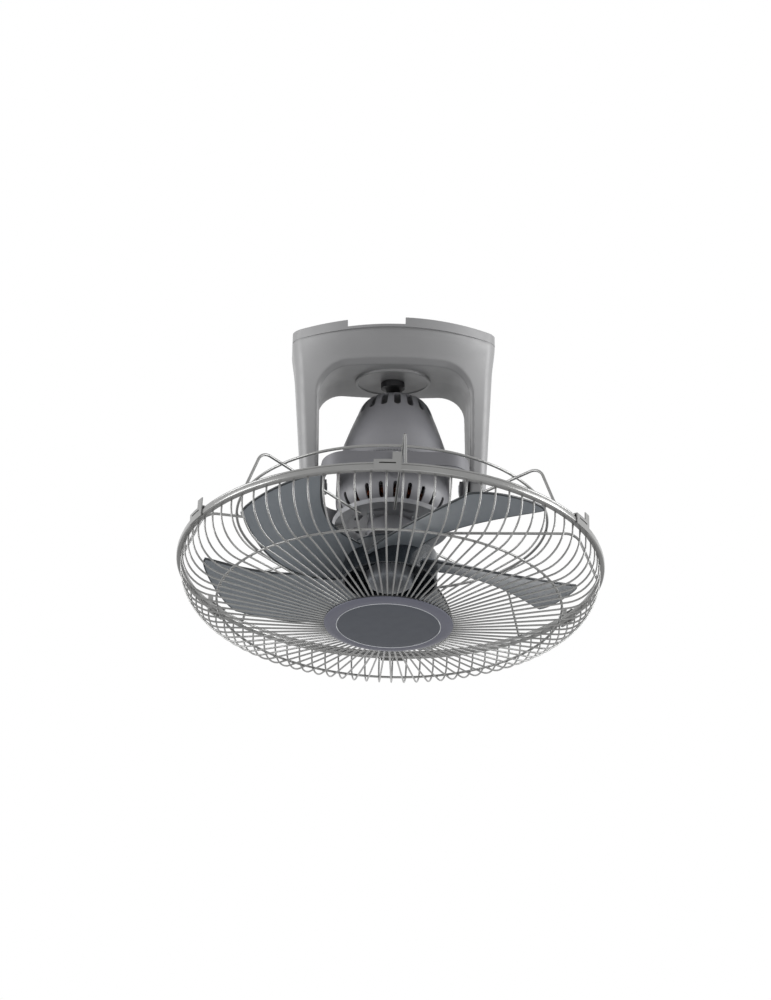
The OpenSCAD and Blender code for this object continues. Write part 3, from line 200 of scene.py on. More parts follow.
class NodeSheet:
    """Node tree whose nodes' inputs are fed by name, with underscores for spaces."""

    def __init__(self, tree: bpy.types.NodeTree) -> None:
        """Keeps the tree's nodes and links."""
        self.nodes, self.links = tree.nodes, tree.links

    def feed(self, socket: Socket, value: object) -> None:
        """Links an output socket to an input, or sets its value.

        Args:
            socket: the input.
            value: output socket or plain value.
        """
        if isinstance(value, Socket):
            self.links.new(value, socket)
        else:
            socket.default_value = value

    def fill(self, node: bpy.types.Node, **inputs: object) -> None:
        """Feeds inputs of a node by name."""
        for label, value in inputs.items():
            self.feed(node.inputs[label.replace("_", " ")], value)

    def add(self, kind: str, options: dict[str, object] | None = None, **inputs: object) -> bpy.types.Node:
        """Adds a node.

        Args:
            kind: Blender's name of the node type.
            options: the node's own settings by name.
            inputs: values or output sockets by input name.
        Returns:
            The node.
        """
        node = self.nodes.new(kind)
        for label, value in (options or {}).items():
            setattr(node, label, value)
        self.fill(node, **inputs)
        return node

    def maths(self, operation: str, first: object, second: object) -> Socket:
        """Adds a Math node.

        Args:
            operation: Blender's name of the operation.
            first: value or output socket.
            second: value or output socket.
        Returns:
            The result's socket.
        """
        node = self.add("ShaderNodeMath", {"operation": operation})
        for socket, value in zip(node.inputs, (first, second)):
            self.feed(socket, value)
        return node.outputs[0]


class ShaderSheet(NodeSheet):
    """Node tree of one material."""

    LEAST, MOST = 0.3, 0.7  # most of a noise's values lie between them

    def __init__(self, name: str) -> None:
        """Starts a material with a plain shader.

        Args:
            name: name of the material.
        """
        self.material = bpy.data.materials.new(name)
        self.material.use_nodes = True
        super().__init__(self.material.node_tree)
        self.shader = self.nodes["Principled BSDF"]

    def place(self, stretch: Triple = (1, 1, 1), lean: float = 0.0) -> Socket:
        """Object coordinates after a Mapping node.

        Args:
            stretch: scale on each axis.
            lean: turn about X in degrees.
        Returns:
            The vector socket.
        """
        kind, scale = ("TEXTURE", [1 / s for s in stretch]) if lean else ("POINT", stretch)
        spot = self.add("ShaderNodeTexCoord").outputs["Object"]
        turn = (radians(lean), 0, 0)
        return self.add("ShaderNodeMapping", {"vector_type": kind}, Vector=spot, Rotation=turn, Scale=scale).outputs[0]

    def noise(self, size: float, detail: float, vector: Socket | None = None) -> Socket:
        """Noise whose features are about size millimetres wide."""
        spot = vector or self.place()
        return self.add("ShaderNodeTexNoise", Scale=1 / (size * MM), Detail=detail, Vector=spot).outputs["Fac"]

    def span(self, noise: Socket, low: float, high: float) -> Socket:
        """Spreads a noise from low to high."""
        return self.add("ShaderNodeMapRange", Value=noise, From_Min=self.LEAST, From_Max=self.MOST, To_Min=low,
                        To_Max=high).outputs["Result"]

    def blend(self, share: Socket, first: Triple, second: Triple) -> Socket:
        """Mixes two colours.

        Args:
            share: how much of the second there is.
            first: linear colour.
            second: linear colour.
        Returns:
            The mixed colour's socket.
        """
        node = self.add("ShaderNodeMix", {"data_type": "RGBA"}, Factor=share)
        node.inputs[6].default_value = (*first, 1)
        node.inputs[7].default_value = (*second, 1)
        return node.outputs[2]

    def bump(self, *layers: tuple[Socket, float]) -> None:
        """Adds relief.

        Args:
            layers: each layer's height socket and its depth in millimetres.
        """
        under: dict[str, Socket] = {}
        for height, depth in layers:
            node = self.add("ShaderNodeBump", Height=height, Distance=depth * MM, Strength=1.0, **under)
            under = {"Normal": node.outputs["Normal"]}
        self.fill(self.shader, **under)


# ---- Finishes ----


def linear(hex_code: str, factor: float = 1.0) -> Triple:
    """Linear colour of a screen colour.

    Args:
        hex_code: six hexadecimal digits.
        factor: how much lighter or darker the tone is.
    Returns:
        Red, green and blue from 0 to 1.
    """
    parts = [int(hex_code[i : i + 2], 16) / 255 for i in (0, 2, 4)]
    base = [c / 12.92 if c <= 0.04045 else ((c + 0.055) / 1.055) ** 2.4 for c in parts]
    return tuple(min(1.0, c * factor) for c in base)


class Sheen(Enum):
    """Roughness of the common surfaces."""

    MATTE = 0.62
    SATIN = 0.44
    SEMI_GLOSS = 0.33
    GLOSS = 0.22
    POLISHED = 0.12


@dataclass(frozen=True)
class Finish:
    """Base of the finishes: a mottled colour, a sheen that varies a little and a fine grain."""

    name: str
    hex_code: str
    sheen: Sheen = Sheen.SATIN
    grain: float = 0.7
    grain_depth: float = 0.02
    mottle: float = 0.05
    mottle_size: float = 30.0
    wear: float = 0.12

    def constants(self) -> dict[str, float]:
        """The shader's values that are the same all over."""
        return {}

    @cache
    def material(self) -> bpy.types.Material:
        """Makes the material on first use.

        Returns:
            A node-based material.
        """
        sheet = ShaderSheet(self.name)
        broad = sheet.span(sheet.noise(self.mottle_size, 4.0), 0.0, 1.0)
        tones = (linear(self.hex_code, factor) for factor in (1 - self.mottle, 1 + self.mottle))
        low, high = (self.sheen.value * factor for factor in (1 - self.wear, 1 + self.wear))
        rough = sheet.span(sheet.noise(self.mottle_size / 3, 5.0), low, high)
        sheet.fill(sheet.shader, Base_Color=sheet.blend(broad, *tones), Roughness=rough, **self.constants())
        self.relief(sheet)
        return sheet.material

    def relief(self, sheet: ShaderSheet) -> None:
        """Adds the grain."""
        sheet.bump((sheet.noise(self.grain, 2.0), self.grain_depth))


@dataclass(frozen=True)
class PowderCoat(Finish):
    """Baked paint on sheet and wire, with a faint orange peel."""

    flake: float = 0.25
    peel: float = 2.2

    def constants(self) -> dict[str, float]:
        """A little metallic flake under a clear coat."""
        return {"Metallic": self.flake, "Coat_Weight": 0.15, "Coat_Roughness": 0.25}

    def relief(self, sheet: ShaderSheet) -> None:
        """Orange peel over a fine grain."""
        peel, grain = sheet.noise(self.peel, 1.0), sheet.noise(self.grain, 2.0)
        sheet.bump((peel, self.grain_depth * 2), (grain, self.grain_depth))


@dataclass(frozen=True)
class MouldedPlastic(Finish):
    """Spark-textured injection moulding."""

    def constants(self) -> dict[str, float]:
        """Plain dielectric."""
        return {"IOR": 1.5}


@dataclass(frozen=True)
class TintedPlastic(Finish):
    """Clear plastic with a tint, as blades and hubs are moulded in."""

    clear: float = 0.3

    def constants(self) -> dict[str, float]:
        """Lets part of the light through."""
        return {"Transmission_Weight": self.clear, "IOR": 1.45, "Coat_Weight": 0.2, "Coat_Roughness": 0.12}


@dataclass(frozen=True)
class BareMetal(Finish):
    """Plated, turned or brushed metal."""

    stretch: Triple = (1, 1, 12)

    def constants(self) -> dict[str, float]:
        """Full metal."""
        return {"Metallic": 1.0}

    def relief(self, sheet: ShaderSheet) -> None:
        """Fine lines left by the tool."""
        sheet.bump((sheet.noise(self.grain, 2.0, sheet.place(self.stretch, HEAD.lean_front)), self.grain_depth))


@dataclass(frozen=True)
class Layered(Finish):
    """Stacked sheets or wound wire: fine bands along the motor's axis."""

    pitch: float = 0.5
    groove: float = 0.3
    wave: float = 0.314  # length of one band of a wave texture of scale 1

    def constants(self) -> dict[str, float]:
        """Metal under varnish."""
        return {"Metallic": 0.8, "Coat_Weight": 0.3}

    def relief(self, sheet: ShaderSheet) -> None:
        """Grooves between the layers."""
        bands = sheet.add("ShaderNodeTexWave", {"bands_direction": "Z"}, Scale=self.wave / (self.pitch * MM),
                          Vector=sheet.place(lean=-HEAD.lean_front))
        sheet.bump((bands.outputs["Fac"], self.pitch * self.groove))


class Paints:
    """Every finish of the fan."""

    YOKE = MouldedPlastic("moulded_grey", "888889", mottle=0.03)
    HOUSING = MouldedPlastic("satin_grey", "7c7c80", mottle=0.035)
    RING = PowderCoat("ring_grey", "67676b")
    WIRE = PowderCoat("wire_grey", "8a8a89", Sheen.GLOSS, flake=0.5)
    PLATE = PowderCoat("plate_grey", "a0a0a3", Sheen.SEMI_GLOSS, flake=0.5)
    BLADE = TintedPlastic("slate_clear", "7e848a", Sheen.SEMI_GLOSS, grain_depth=0.006, mottle=0.03, clear=0.22)
    # dark colour of the blades' rolled edges: painted shade, where the thick rim is seen edge-on
    EDGE = TintedPlastic("edge_painted_shade", "2b3034", Sheen.SEMI_GLOSS, grain_depth=0.004, mottle=0.03, clear=0.15)
    HUB = TintedPlastic("smoke_clear", "2c3238", Sheen.GLOSS, grain_depth=0.004)
    KNOB = MouldedPlastic("knob_grey", "90949a")
    BADGE = MouldedPlastic("badge_border", "585966", Sheen.SEMI_GLOSS, grain_depth=0.006, mottle=0.04)
    FACE = MouldedPlastic("badge_face", "353a44", Sheen.SEMI_GLOSS, grain_depth=0.006)
    BLACK = MouldedPlastic("black_plastic", "1d1d1f")
    NYLON = MouldedPlastic("pale_plastic", "d8d4c6", Sheen.MATTE)
    TRIM = BareMetal("trim_bright", "d4d6da", Sheen.POLISHED, grain_depth=0.002)
    STEEL = BareMetal("zinc_steel", "b4b6b8", Sheen.SEMI_GLOSS, grain_depth=0.01)
    BRONZE = BareMetal("sintered_bronze", "a07c4a", grain=0.3, stretch=(1, 1, 1))
    CORE = Layered("laminated_core", "7d7f82")
    COPPER = Layered("enamelled_copper", "7d4028", Sheen.GLOSS, pitch=0.6)


# ---- Geometry Nodes ----


class PatternTree(NodeSheet):
    """A Geometry Nodes tree with named inputs, whose first input and only output is geometry."""

    def __init__(self, name: str) -> None:
        """Starts the tree with its geometry sockets.

        Args:
            name: name of the tree.
        """
        self.group = bpy.data.node_groups.new(name, "GeometryNodeTree")
        super().__init__(self.group)
        for way in ("INPUT", "OUTPUT"):
            self.group.interface.new_socket("Geometry", in_out=way, socket_type="NodeSocketGeometry")
        self.start, self.end = self.add("NodeGroupInput"), self.add("NodeGroupOutput")
        self.identifiers: dict[str, str] = {}

    def named(self, label: str, kind: str, default: object = None) -> Socket:
        """Adds a named input.

        Args:
            label: name of the input.
            kind: socket type, such as Float, Int or Material.
            default: value that it starts with.
        Returns:
            The socket inside the tree.
        """
        item = self.group.interface.new_socket(label, in_out="INPUT", socket_type="NodeSocket" + kind)
        if default is not None:
            item.default_value = default
        self.identifiers[label] = item.identifier
        return self.start.outputs[label]

    def ring(self, shape: Socket) -> Socket:
        """Copies a shape round the Z axis and makes the copies real.

        Args:
            shape: geometry of one copy.
        Returns:
            Geometry of all copies.
        """
        count = self.named("Count", "Int", 8)
        first = self.named("First Turn", "Float", 0.0)
        waver = self.named("Waver", "Float", 0.0)
        seed = self.named("Seed", "Int", 7)
        points = self.add("GeometryNodeMeshLine", {"mode": "OFFSET"}, Count=count, Offset=(0, 0, 0))
        step = self.maths("DIVIDE", 2 * pi, count)
        turn = self.maths("MULTIPLY", self.add("GeometryNodeInputIndex").outputs[0], step)
        chance = self.add("FunctionNodeRandomValue", {"data_type": "FLOAT"}, Seed=seed)
        spread = self.maths("MULTIPLY", self.maths("SUBTRACT", chance.outputs[1], 0.5), waver)
        total = self.maths("ADD", self.maths("ADD", turn, first), spread)
        angles = self.add("ShaderNodeCombineXYZ", Z=total)
        copies = self.add("GeometryNodeInstanceOnPoints", Points=points.outputs[0], Instance=shape,
                          Rotation=angles.outputs[0])
        return self.add("GeometryNodeRealizeInstances", Geometry=copies.outputs[0]).outputs[0]

    def close(self, shape: Socket) -> None:
        """Ends the tree with its material."""
        paint = self.add("GeometryNodeSetMaterial", Geometry=shape, Material=self.named("Material", "Material"))
        self.feed(self.end.inputs[0], paint.outputs[0])

    def bake(self, piece: Piece, **settings: object) -> Piece:
        """Runs the tree on a piece and keeps the result, placed in the head's frame, as its plain mesh.

        Args:
            piece: object whose mesh the tree starts from.
            settings: values by input name, with underscores for spaces.
        Returns:
            The same object with its new mesh and no modifier.
        """
        modifier = piece.modifiers.new("pattern", "NODES")
        modifier.node_group = self.group
        for label, value in settings.items():
            modifier[self.identifiers[label.replace("_", " ")]] = value
        bpy.context.view_layer.update()
        evaluated = piece.evaluated_get(bpy.context.evaluated_depsgraph_get())
        mesh = bpy.data.meshes.new_from_object(evaluated)
        piece.modifiers.remove(modifier)
        piece.data = mesh
        mesh.transform(HEAD.head())
        mesh.update()
        return piece


@cache
def swept_ring() -> PatternTree:
    """Makes the tree that sweeps a round wire along a line and copies it round the axis.

    Returns:
        The tree, made once.
    """
    tree = PatternTree("swept_ring")
    line = tree.add("GeometryNodeMeshToCurve", Mesh=tree.start.outputs[0])
    section = tree.add("GeometryNodeCurvePrimitiveCircle", Resolution=tree.named("Sides", "Int", 8),
                       Radius=tree.named("Wire Radius", "Float", 0.001))
    wire = tree.add("GeometryNodeCurveToMesh", Curve=line.outputs[0], Profile_Curve=section.outputs[0], Fill_Caps=True)
    smooth = tree.add("GeometryNodeSetShadeSmooth", Geometry=wire.outputs[0])
    tree.close(tree.ring(smooth.outputs[0]))
    return tree


@cache
def repeated_ring() -> PatternTree:
    """Makes the tree that copies a finished shape round the axis.

    Returns:
        The tree, made once.
    """
    tree = PatternTree("repeated_ring")
    tree.close(tree.ring(tree.start.outputs[0]))
    return tree


def soft_shading() -> bpy.types.NodeTree:
    """Makes the tree that shades a model node smooth, except across its sharp edges.

    Returns:
        The node group.
    """
    tree = PatternTree("soft_shading")
    merged = tree.add("GeometryNodeMergeByDistance", Geometry=tree.start.outputs[0], Distance=MERGE)
    smooth = tree.add("GeometryNodeSetShadeSmooth", {"domain": "FACE"}, Geometry=merged.outputs[0], Shade_Smooth=True)
    angle = tree.add("GeometryNodeInputMeshEdgeAngle")
    wide = tree.add("FunctionNodeCompare", {"operation": "GREATER_THAN"}, A=angle.outputs[0],
                    B=tree.named("Sharp Angle", "Float", radians(SHARP)))
    edges = tree.add("GeometryNodeSetShadeSmooth", {"domain": "EDGE"}, Geometry=smooth.outputs[0],
                     Selection=wide.outputs[0], Shade_Smooth=False)
    tree.feed(tree.end.inputs[0], edges.outputs[0])
    return tree.group


# ---- Shared steps ----


@dataclass
class SubAssembly:
    """Part of the fan: the body that it rides on and the pieces made for it."""

    body: str = "mount"
    made: list[Piece] = field(default_factory=list)

    def add(self, piece: Piece, finish: Finish, slot: str, node: str = "") -> None:
        """Gives a finished piece its material and its body.

        Args:
            piece: mesh object at the origin.
            finish: finish of the whole piece.
            slot: name of the record's material slot; not used.
            node: node of the model that it stands for.
        """
        piece.data.materials.clear()
        piece.data.materials.append(finish.material())
        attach(piece, self.body)
        if node:
            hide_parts(node)
        self.made.append(piece)

    def repeat(self, tree: PatternTree, base: Piece, finish: Finish, slot: str, node: str = "",
               **settings: object) -> None:
        """Adds the piece that a tree makes from a base object, with settings for the tree's other inputs."""
        self.add(tree.bake(base, Material=finish.material(), **settings), finish, slot, node)

    def build(self) -> None:
        """Makes the pieces of this part."""


class NodeDresser:
    """Gives the model's nodes their finish and a soft shading."""

    FINISHES: dict[Finish, tuple[str, ...]] = {
        Paints.STEEL: ("ceiling_plate", "side_screws", "leg_bolts", "crank_clip", "orbit_shaft",
                       "shaft_screw", "ring_screws", "housing_screws", "bearing_plate", "gear_plate", "orbit_motor",
                       "guard_screws", "motor_shaft", "rotor_core", "drive_pin"),
        Paints.YOKE: ("yoke", "pivot_disc", "disc_screws"),
        Paints.HOUSING: ("upper_housing", "lower_housing"),
        Paints.BLACK: ("terminal_block", "crank_bush", "crank_lever", "leg_bushes", "badge_back"),
        Paints.NYLON: ("orbit_wheel", "drive_pinion"),
        Paints.RING: ("gimbal_ring",),
        Paints.BRONZE: ("rear_bush", "front_bush", "orbit_bush"),
        Paints.CORE: ("stator_core",),
        Paints.COPPER: ("windings",),
        Paints.PLATE: ("guard_plate",),
        Paints.WIRE: ("rear_guard_struts", "rear_guard_rings", "rim_band", "rim_clips", "front_guard_wires",
                      "front_guard_rings"),
        Paints.BADGE: ("badge_cap",),
        Paints.TRIM: ("badge_trim",),
        Paints.BLADE: ("impeller",),
        Paints.KNOB: ("impeller_knob",),
    }

    def build(self) -> None:
        """Dresses every node of the model."""
        shading = soft_shading()
        for finish, names in self.FINISHES.items():
            for name in names:
                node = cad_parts[name]
                node.data.materials.clear()
                node.data.materials.append(finish.material())
                node.modifiers.new("soft_shading", "NODES").node_group = shading


# ---- Yoke ----


def soft_max(first: Grid, second: Grid, radius: float) -> Grid:
    """Distances to what two shapes share, with its edge rounded."""
    u, v = np.maximum(first + radius, 0), np.maximum(second + radius, 0)
    return np.minimum(-radius, np.maximum(first, second)) + np.hypot(u, v)


def bevelled(first: Grid, second: Grid, size: Grid, radius: float) -> Grid:
    """Distances to what two shapes share, with its edge bevelled by a size and both creases a little rounded."""
    flat = (first + second + size) / sqrt(2)
    return soft_max(soft_max(first, flat, radius), second, radius)


def part_of(grid: Grid, spans: dict[int, slice]) -> Grid:
    """Part of a grid within the spans of some of its axes."""
    return grid[tuple(spans.get(axis, slice(None)) for axis in range(3))]


def skin(field_of: Callable[[Grid, Grid, Grid], Grid], low: Triple, high: Triple, step: float,
         passes: int = 3, probe: float = 0.05, flattest: float = 0.25) -> tuple[Grid, Grid]:
    """Quads over the surface where a distance field is zero.

    Each cell of the samples that the surface passes through gets one corner, at the mean of its crossings, and
    each crossed edge between samples gets a quad. The corners then settle on the surface.

    Args:
        field_of: distance at x, y and z, negative inside.
        low: lowest corner of the space that holds the shape.
        high: its highest corner.
        step: spacing of the samples.
        passes: how often the corners move towards the surface.
        probe: distance over which the field's slope is measured.
        flattest: least square of the slope, where the field is nearly flat.
    Returns:
        Corners and quads.
    """
    values = field_of(*np.meshgrid(*(np.arange(a, b + step, step) for a, b in zip(low, high)), indexing="ij"))
    inside = values < 0
    shape = [n - 1 for n in values.shape]
    total, hits = np.zeros((*shape, 3)), np.zeros(shape)
    for axis, u, v in ((0, 1, 2), (1, 0, 2), (2, 0, 1)):
        a, b = (part_of(values, {axis: slice(k, k + shape[axis])}) for k in (0, 1))
        cross = (a < 0) != (b < 0)
        share = np.where(cross, a / np.where(cross, a - b, 1), 0)
        for i, j in ((0, 0), (0, 1), (1, 0), (1, 1)):
            spans = {u: slice(i, i + shape[u]), v: slice(j, j + shape[v])}
            here = part_of(cross, spans)
            hits += here
            total[..., axis] += here * part_of(share, spans)
            total[..., u] += here * i
            total[..., v] += here * j
    used = hits > 0
    number = np.full(shape, -1)
    number[used] = np.arange(used.sum())
    points = np.asarray(low) + (np.argwhere(used) + total[used] / hits[used][:, None]) * step
    quads, unit = [], np.eye(3, dtype=int)
    for axis, u, v in ((0, 1, 2), (1, 2, 0), (2, 0, 1)):
        a, b = (part_of(inside, {axis: slice(k, k + shape[axis]), u: slice(1, -1), v: slice(1, -1)}) for k in (0, 1))
        for order, where in ((1, a & ~b), (-1, ~a & b)):
            at = np.argwhere(where)
            ring = [number[tuple((at + i * unit[u] + j * unit[v]).T)] for i, j in ((0, 0), (1, 0), (1, 1), (0, 1))]
            quads.append(np.stack(ring[::order], 1))
    faces = np.concatenate(quads)
    for _ in range(passes):
        slope = np.stack([
            (field_of(*(points + off).T) - field_of(*(points - off).T)) / (2 * probe) for off in np.eye(3) * probe
        ], 1)
        move = -field_of(*points.T)[:, None] * slope / np.maximum((slope**2).sum(1), flattest)[:, None]
        points = points + np.clip(move, -step / 2, step / 2)
    return points, faces[(faces >= 0).all(1)]


@dataclass
class Yoke(SubAssembly):
    """Arched yoke that carries the gimbal, as one hollow moulding.

    Its outline is a barrel: at each of the levels it has a half-width, a half-depth at the middle and a
    half-depth at the ends. Seats are a radius and the distance from the middle at which they start.
    """

    levels: Sizes = (-190.0, -39.5, -14.0, 0.0)
    widths: Sizes = (97.5, 106.9, 110.3, 110.3)
    middles: Sizes = (32.0, 62.0, 75.0, 79.4)
    ends: Sizes = (24.0, 28.5, 31.0, 31.0)
    blend: float = 5.0
    corner: float = 9.0
    top_edge: float = 0.6
    past_end: float = 1.1
    flare: float = 0.06
    arch_half_width: float = 81.0
    arch_drop: float = 44.5
    arch_corner: float = 30.0
    arch_dip: Pair = (0.5, 2.5)
    dip_depth: float = 62.0
    dip_span: float = 60.0
    dip_most: float = 1.35
    edge: float = 5.5
    leg_edge: float = 3.3
    crease: float = 0.4
    leg_r: float = 24.0
    leg_end_edge: float = 2.5
    wall: float = 3.0
    lip_h: float = 12.6
    lip_step: float = 0.45
    lip_slope: float = 2.0
    lip_proud: float = 0.1
    lip_soft: float = 0.35
    lip_deep: float = 1.2
    notch: Pair = (-52.0, 9.0)
    notch_h: float = 7.5
    notch_side: float = 0.05
    bolt_hole_r: float = 4.1
    bolt_seat: Pair = (7.5, 92.9)
    screw_seat: Pair = (4.1, 106.6)
    screw_drop: float = 9.5
    crank_hole_r: float = 13.2
    sample: float = 1.3
    margin: float = 3.0

    def level(self, z: Grid, sizes: Sizes) -> Grid:
        """Size at height z, with the changes of slope rounded off."""
        return sum(np.interp(z + shift, self.levels, sizes) for shift in (-self.blend, 0.0, self.blend)) / 3

    def outline(self, x: Grid, y: Grid, z: Grid, inset: Grid | float) -> Grid:
        """Distance to the barrel-shaped outside of the yoke.

        Args:
            x: places along the yoke.
            y: places across it.
            z: heights.
            inset: how far inside the outside the surface lies.
        Returns:
            Distances, negative inside.
        """
        middle, ends, width = (self.level(z, sizes) for sizes in (self.middles, self.ends, self.widths))
        bow = ends + (middle - ends) * (1 - np.minimum(np.abs(x) / width, self.past_end) ** 2)
        lean = np.sqrt(1 + (2 * (middle - ends) * x / width**2) ** 2 + self.flare)
        side = np.abs(x) - width + inset
        face = (np.abs(y) - bow) / lean + inset
        return soft_max(side, face, self.corner - inset)

    def arch(self, x: Grid, y: Grid, z: Grid) -> tuple[Grid, Grid]:
        """Distance to the arched opening, whose crown dips to the back.

        Args:
            x: places along the yoke.
            y: places across it.
            z: heights.
        Returns:
            Distances, negative in the opening, and the width of its bevel.
        """
        middle_dip, end_dip = self.arch_dip
        bulge = end_dip * np.minimum(np.abs(x) / self.dip_span, self.dip_most) ** 2
        over = z + self.arch_drop + self.arch_corner + np.clip(y / self.dip_depth, 0, 1) * (middle_dip + bulge)
        reach = np.maximum(np.abs(x) - (self.arch_half_width - self.arch_corner), 0)
        crown = np.hypot(reach, np.maximum(over, 0)) - self.arch_corner
        width = self.leg_edge + (self.edge - self.leg_edge) * np.clip(over / self.arch_corner, 0, 1)
        return np.where(over < 0, np.abs(x) - self.arch_half_width, crown), width

    def distance(self, x: Grid, y: Grid, z: Grid) -> Grid:
        """Distance to the whole yoke.

        Args:
            x: places along the yoke.
            y: places across it.
            z: heights.
        Returns:
            Distances, negative inside.
        """
        step = self.lip_step * np.clip((z + self.lip_h) / self.lip_slope, 0, 1)
        body = soft_max(self.outline(x, y, z, step), z, self.top_edge)
        floor = -self.arch_drop + self.wall - z
        hollow = soft_max(self.outline(x, y, z, self.wall), floor, self.edge)
        opening, bevel = self.arch(x, y, z)
        body = np.maximum(bevelled(body, -opening, bevel, self.crease), -hollow)
        low = z + HEAD.gimbal_drop
        pivot = np.hypot(y, low)
        body = soft_max(body, np.where(low < 0, pivot - self.leg_r, -self.leg_r), self.leg_end_edge)
        middle, half = sum(self.notch) / 2, (self.notch[1] - self.notch[0]) / 2
        notch = np.maximum.reduce([np.abs(x - middle) - half, y, -z - self.notch_h])
        bolt = np.maximum(pivot - self.bolt_seat[0], self.bolt_seat[1] - np.abs(x))
        screw = np.maximum(np.hypot(y, z + self.screw_drop) - self.screw_seat[0], self.screw_seat[1] - np.abs(x))
        holes = (self.bolt_hole_r - pivot, self.crank_hole_r - np.hypot(x, y))
        return np.maximum.reduce([body, -notch, -bolt, -screw, *holes])

    def rim_line(self, grow: float, steps: int = 128) -> list[Pair]:
        """Barrel outline at the ceiling, anticlockwise.

        Args:
            grow: how far it lies outside the yoke's own outline.
            steps: number of points from the middle to an end.
        Returns:
            Points of the outline, with close pairs at the notch's ends.
        """
        w, end, mid, r = self.widths[-1] + grow, self.ends[-1] + grow, self.middles[-1] + grow, self.corner + grow
        xs = {w * sin(pi / 2 * i / steps) for i in range(-steps, steps + 1)}
        xs = sorted(xs | {side + nudge for side in self.notch for nudge in (-self.notch_side, self.notch_side)})

        def bow(x: float) -> float:
            """Half-depth of the outline at x."""
            past = max(0.0, abs(x) - w + r) / r
            return end + (mid - end) * (1 - (x / w) ** 2) - r * (1 - sqrt(max(0.0, 1 - past * past)))

        return [(x, -bow(x)) for x in xs] + [(-x, bow(x)) for x in xs]

    def lip(self) -> Piece:
        """Shallow band let in round the ceiling edge, lower along the cable notch.

        Returns:
            The band.
        """
        face, soft, low = self.lip_proud - self.lip_step, self.lip_soft, self.lip_slope - self.lip_h
        back = face - self.lip_deep
        profile = [(back, low), (face, low), (face, -soft), (face - soft, 0.0), (back, 0.0)]
        points = []
        for grow, h in profile:
            for x, y in self.rim_line(grow):
                cut = y < 0 and self.notch[0] <= x <= self.notch[1] and h > -self.notch_h
                points.append((x, y, h - self.notch_h if cut else h))
        count = len(points)
        rows = grid_faces(len(profile) + 1, count // len(profile), closed=True)
        piece = new_object("yoke_lip", points, [[v % count for v in quad] for quad in rows])
        clean(piece)
        return piece

    def build(self) -> None:
        """Makes the yoke's skin and its lip."""
        wide, deep = max(self.widths) + self.margin, max(self.middles) + self.margin
        low, high = self.levels[0] - self.margin, self.levels[-1] + self.margin
        points, faces = skin(self.distance, (-wide, -deep, low), (wide, deep, high), self.sample)
        piece = new_object("yoke_shell", points, faces.tolist())
        clean(piece, sharp=50)
        self.add(piece, Paints.YOKE, "yoke_grey", "yoke")
        self.add(self.lip(), Paints.YOKE, "yoke_grey")


@dataclass
class PivotDisc(SubAssembly):
    """Round plate in the arch's underside: a shallow dish with a raised rim and a hole for the crank's bush."""

    radius: float = 41.0
    top: float = -39.8
    low: float = -47.1
    rim_w: float = 3.2
    dish: float = 1.0
    hole_r: float = 9.0

    def build(self) -> None:
        """Makes the plate as one turned solid."""
        r, low, inner, floor = self.radius, self.low, self.radius - self.rim_w, self.low + self.dish
        profile = [(self.hole_r, floor), (inner - 1.2, floor), (inner - 0.4, floor - 0.15), (inner, low + 0.25),
                   (inner + 0.4, low), (r - 1.0, low), (r - 0.3, low + 0.3), (r, low + 1.0), (r, self.top),
                   (self.hole_r, self.top)]
        self.add(turned("disc", profile, place=Matrix()), Paints.YOKE, "yoke_grey", "pivot_disc")


# ---- Motor ----


@dataclass
class Bell(SubAssembly):
    """Upper motor housing: the model's casting with a fuller flank, and taller and wider slots in its shoulder.

    The pairs of rows give old and new heights, what the flank gains at each height, and old and new angles
    beside the middle of a slot.
    """

    body: str = "head"
    node: str = "upper_housing"
    top: float = 100.0
    top_r: float = 34.0
    slope: float = 0.254
    shoulder_h: float = 15.0
    shoulder_in: float = 4.5
    core_r: Pair = (14.0, 26.0)
    slot_first: float = 10.0
    slot_step: float = 20.0
    slot_low: float = 62.0
    slot_turns: tuple[Sizes, Sizes] = ((-10, -3.6, 3.6, 10), (-10, -5.2, 5.2, 10))
    heights: tuple[Sizes, Sizes] = ((0, 60, 84, 93, 100), (0, 60, 77.5, 91.5, 100))
    fuller: tuple[Sizes, Sizes] = ((8, 45, 60, 71, 85, 100), (0, 5.2, 4.7, 4.3, 3.3, 3.2))

    def flank(self, h: float) -> float:
        """Outer radius of the model's casting at height h."""
        up = np.clip((h - self.top + self.shoulder_h) / self.shoulder_h, 0, 1)
        return self.top_r + self.slope * (self.top - h) - self.shoulder_in * (1 - np.sqrt(1 - up**2))

    def moved(self, x: float, y: float, h: float) -> Vector:
        """New place of a point of the casting, which moves fully outside the core and not at all inside it.

        Args:
            x: first place across the motor's axis.
            y: second place across it.
            h: height along it.
        Returns:
            The place in the head's frame.
        """
        r, angle, core = max(hypot(x, y), AXIS_R), degrees(atan2(y, x)), self.core_r
        share = min(1.0, max(0.0, (r - core[0]) / (core[1] - core[0])))
        new_h = float(np.interp(h, *self.heights))
        push = float(self.flank(new_h) + np.interp(new_h, *self.fuller) - self.flank(h))
        if h > self.slot_low:
            beside = (angle - self.slot_first + self.slot_step / 2) % self.slot_step - self.slot_step / 2
            angle += share * (float(np.interp(beside, *self.slot_turns)) - beside)
        grown, turn = r + share * push, radians(angle)
        return Vector((grown * cos(turn), grown * sin(turn), h + share * (new_h - h)))

    def build(self) -> None:
        """Makes the casting from a merged copy of the node."""
        work = bmesh.new()
        work.from_mesh(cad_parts[self.node].data)
        bmesh.ops.remove_doubles(work, verts=work.verts, dist=MERGE)
        place = HEAD.head()
        back = place.inverted()
        for vert in work.verts:
            vert.co = place @ (self.moved(*(back @ vert.co) / MM) * MM)
        mesh = bpy.data.meshes.new("bell")
        work.to_mesh(mesh)
        work.free()
        shade(mesh, SHARP)
        self.add(linked("bell", mesh), Paints.HOUSING, "satin_grey", self.node)


# ---- Guards ----


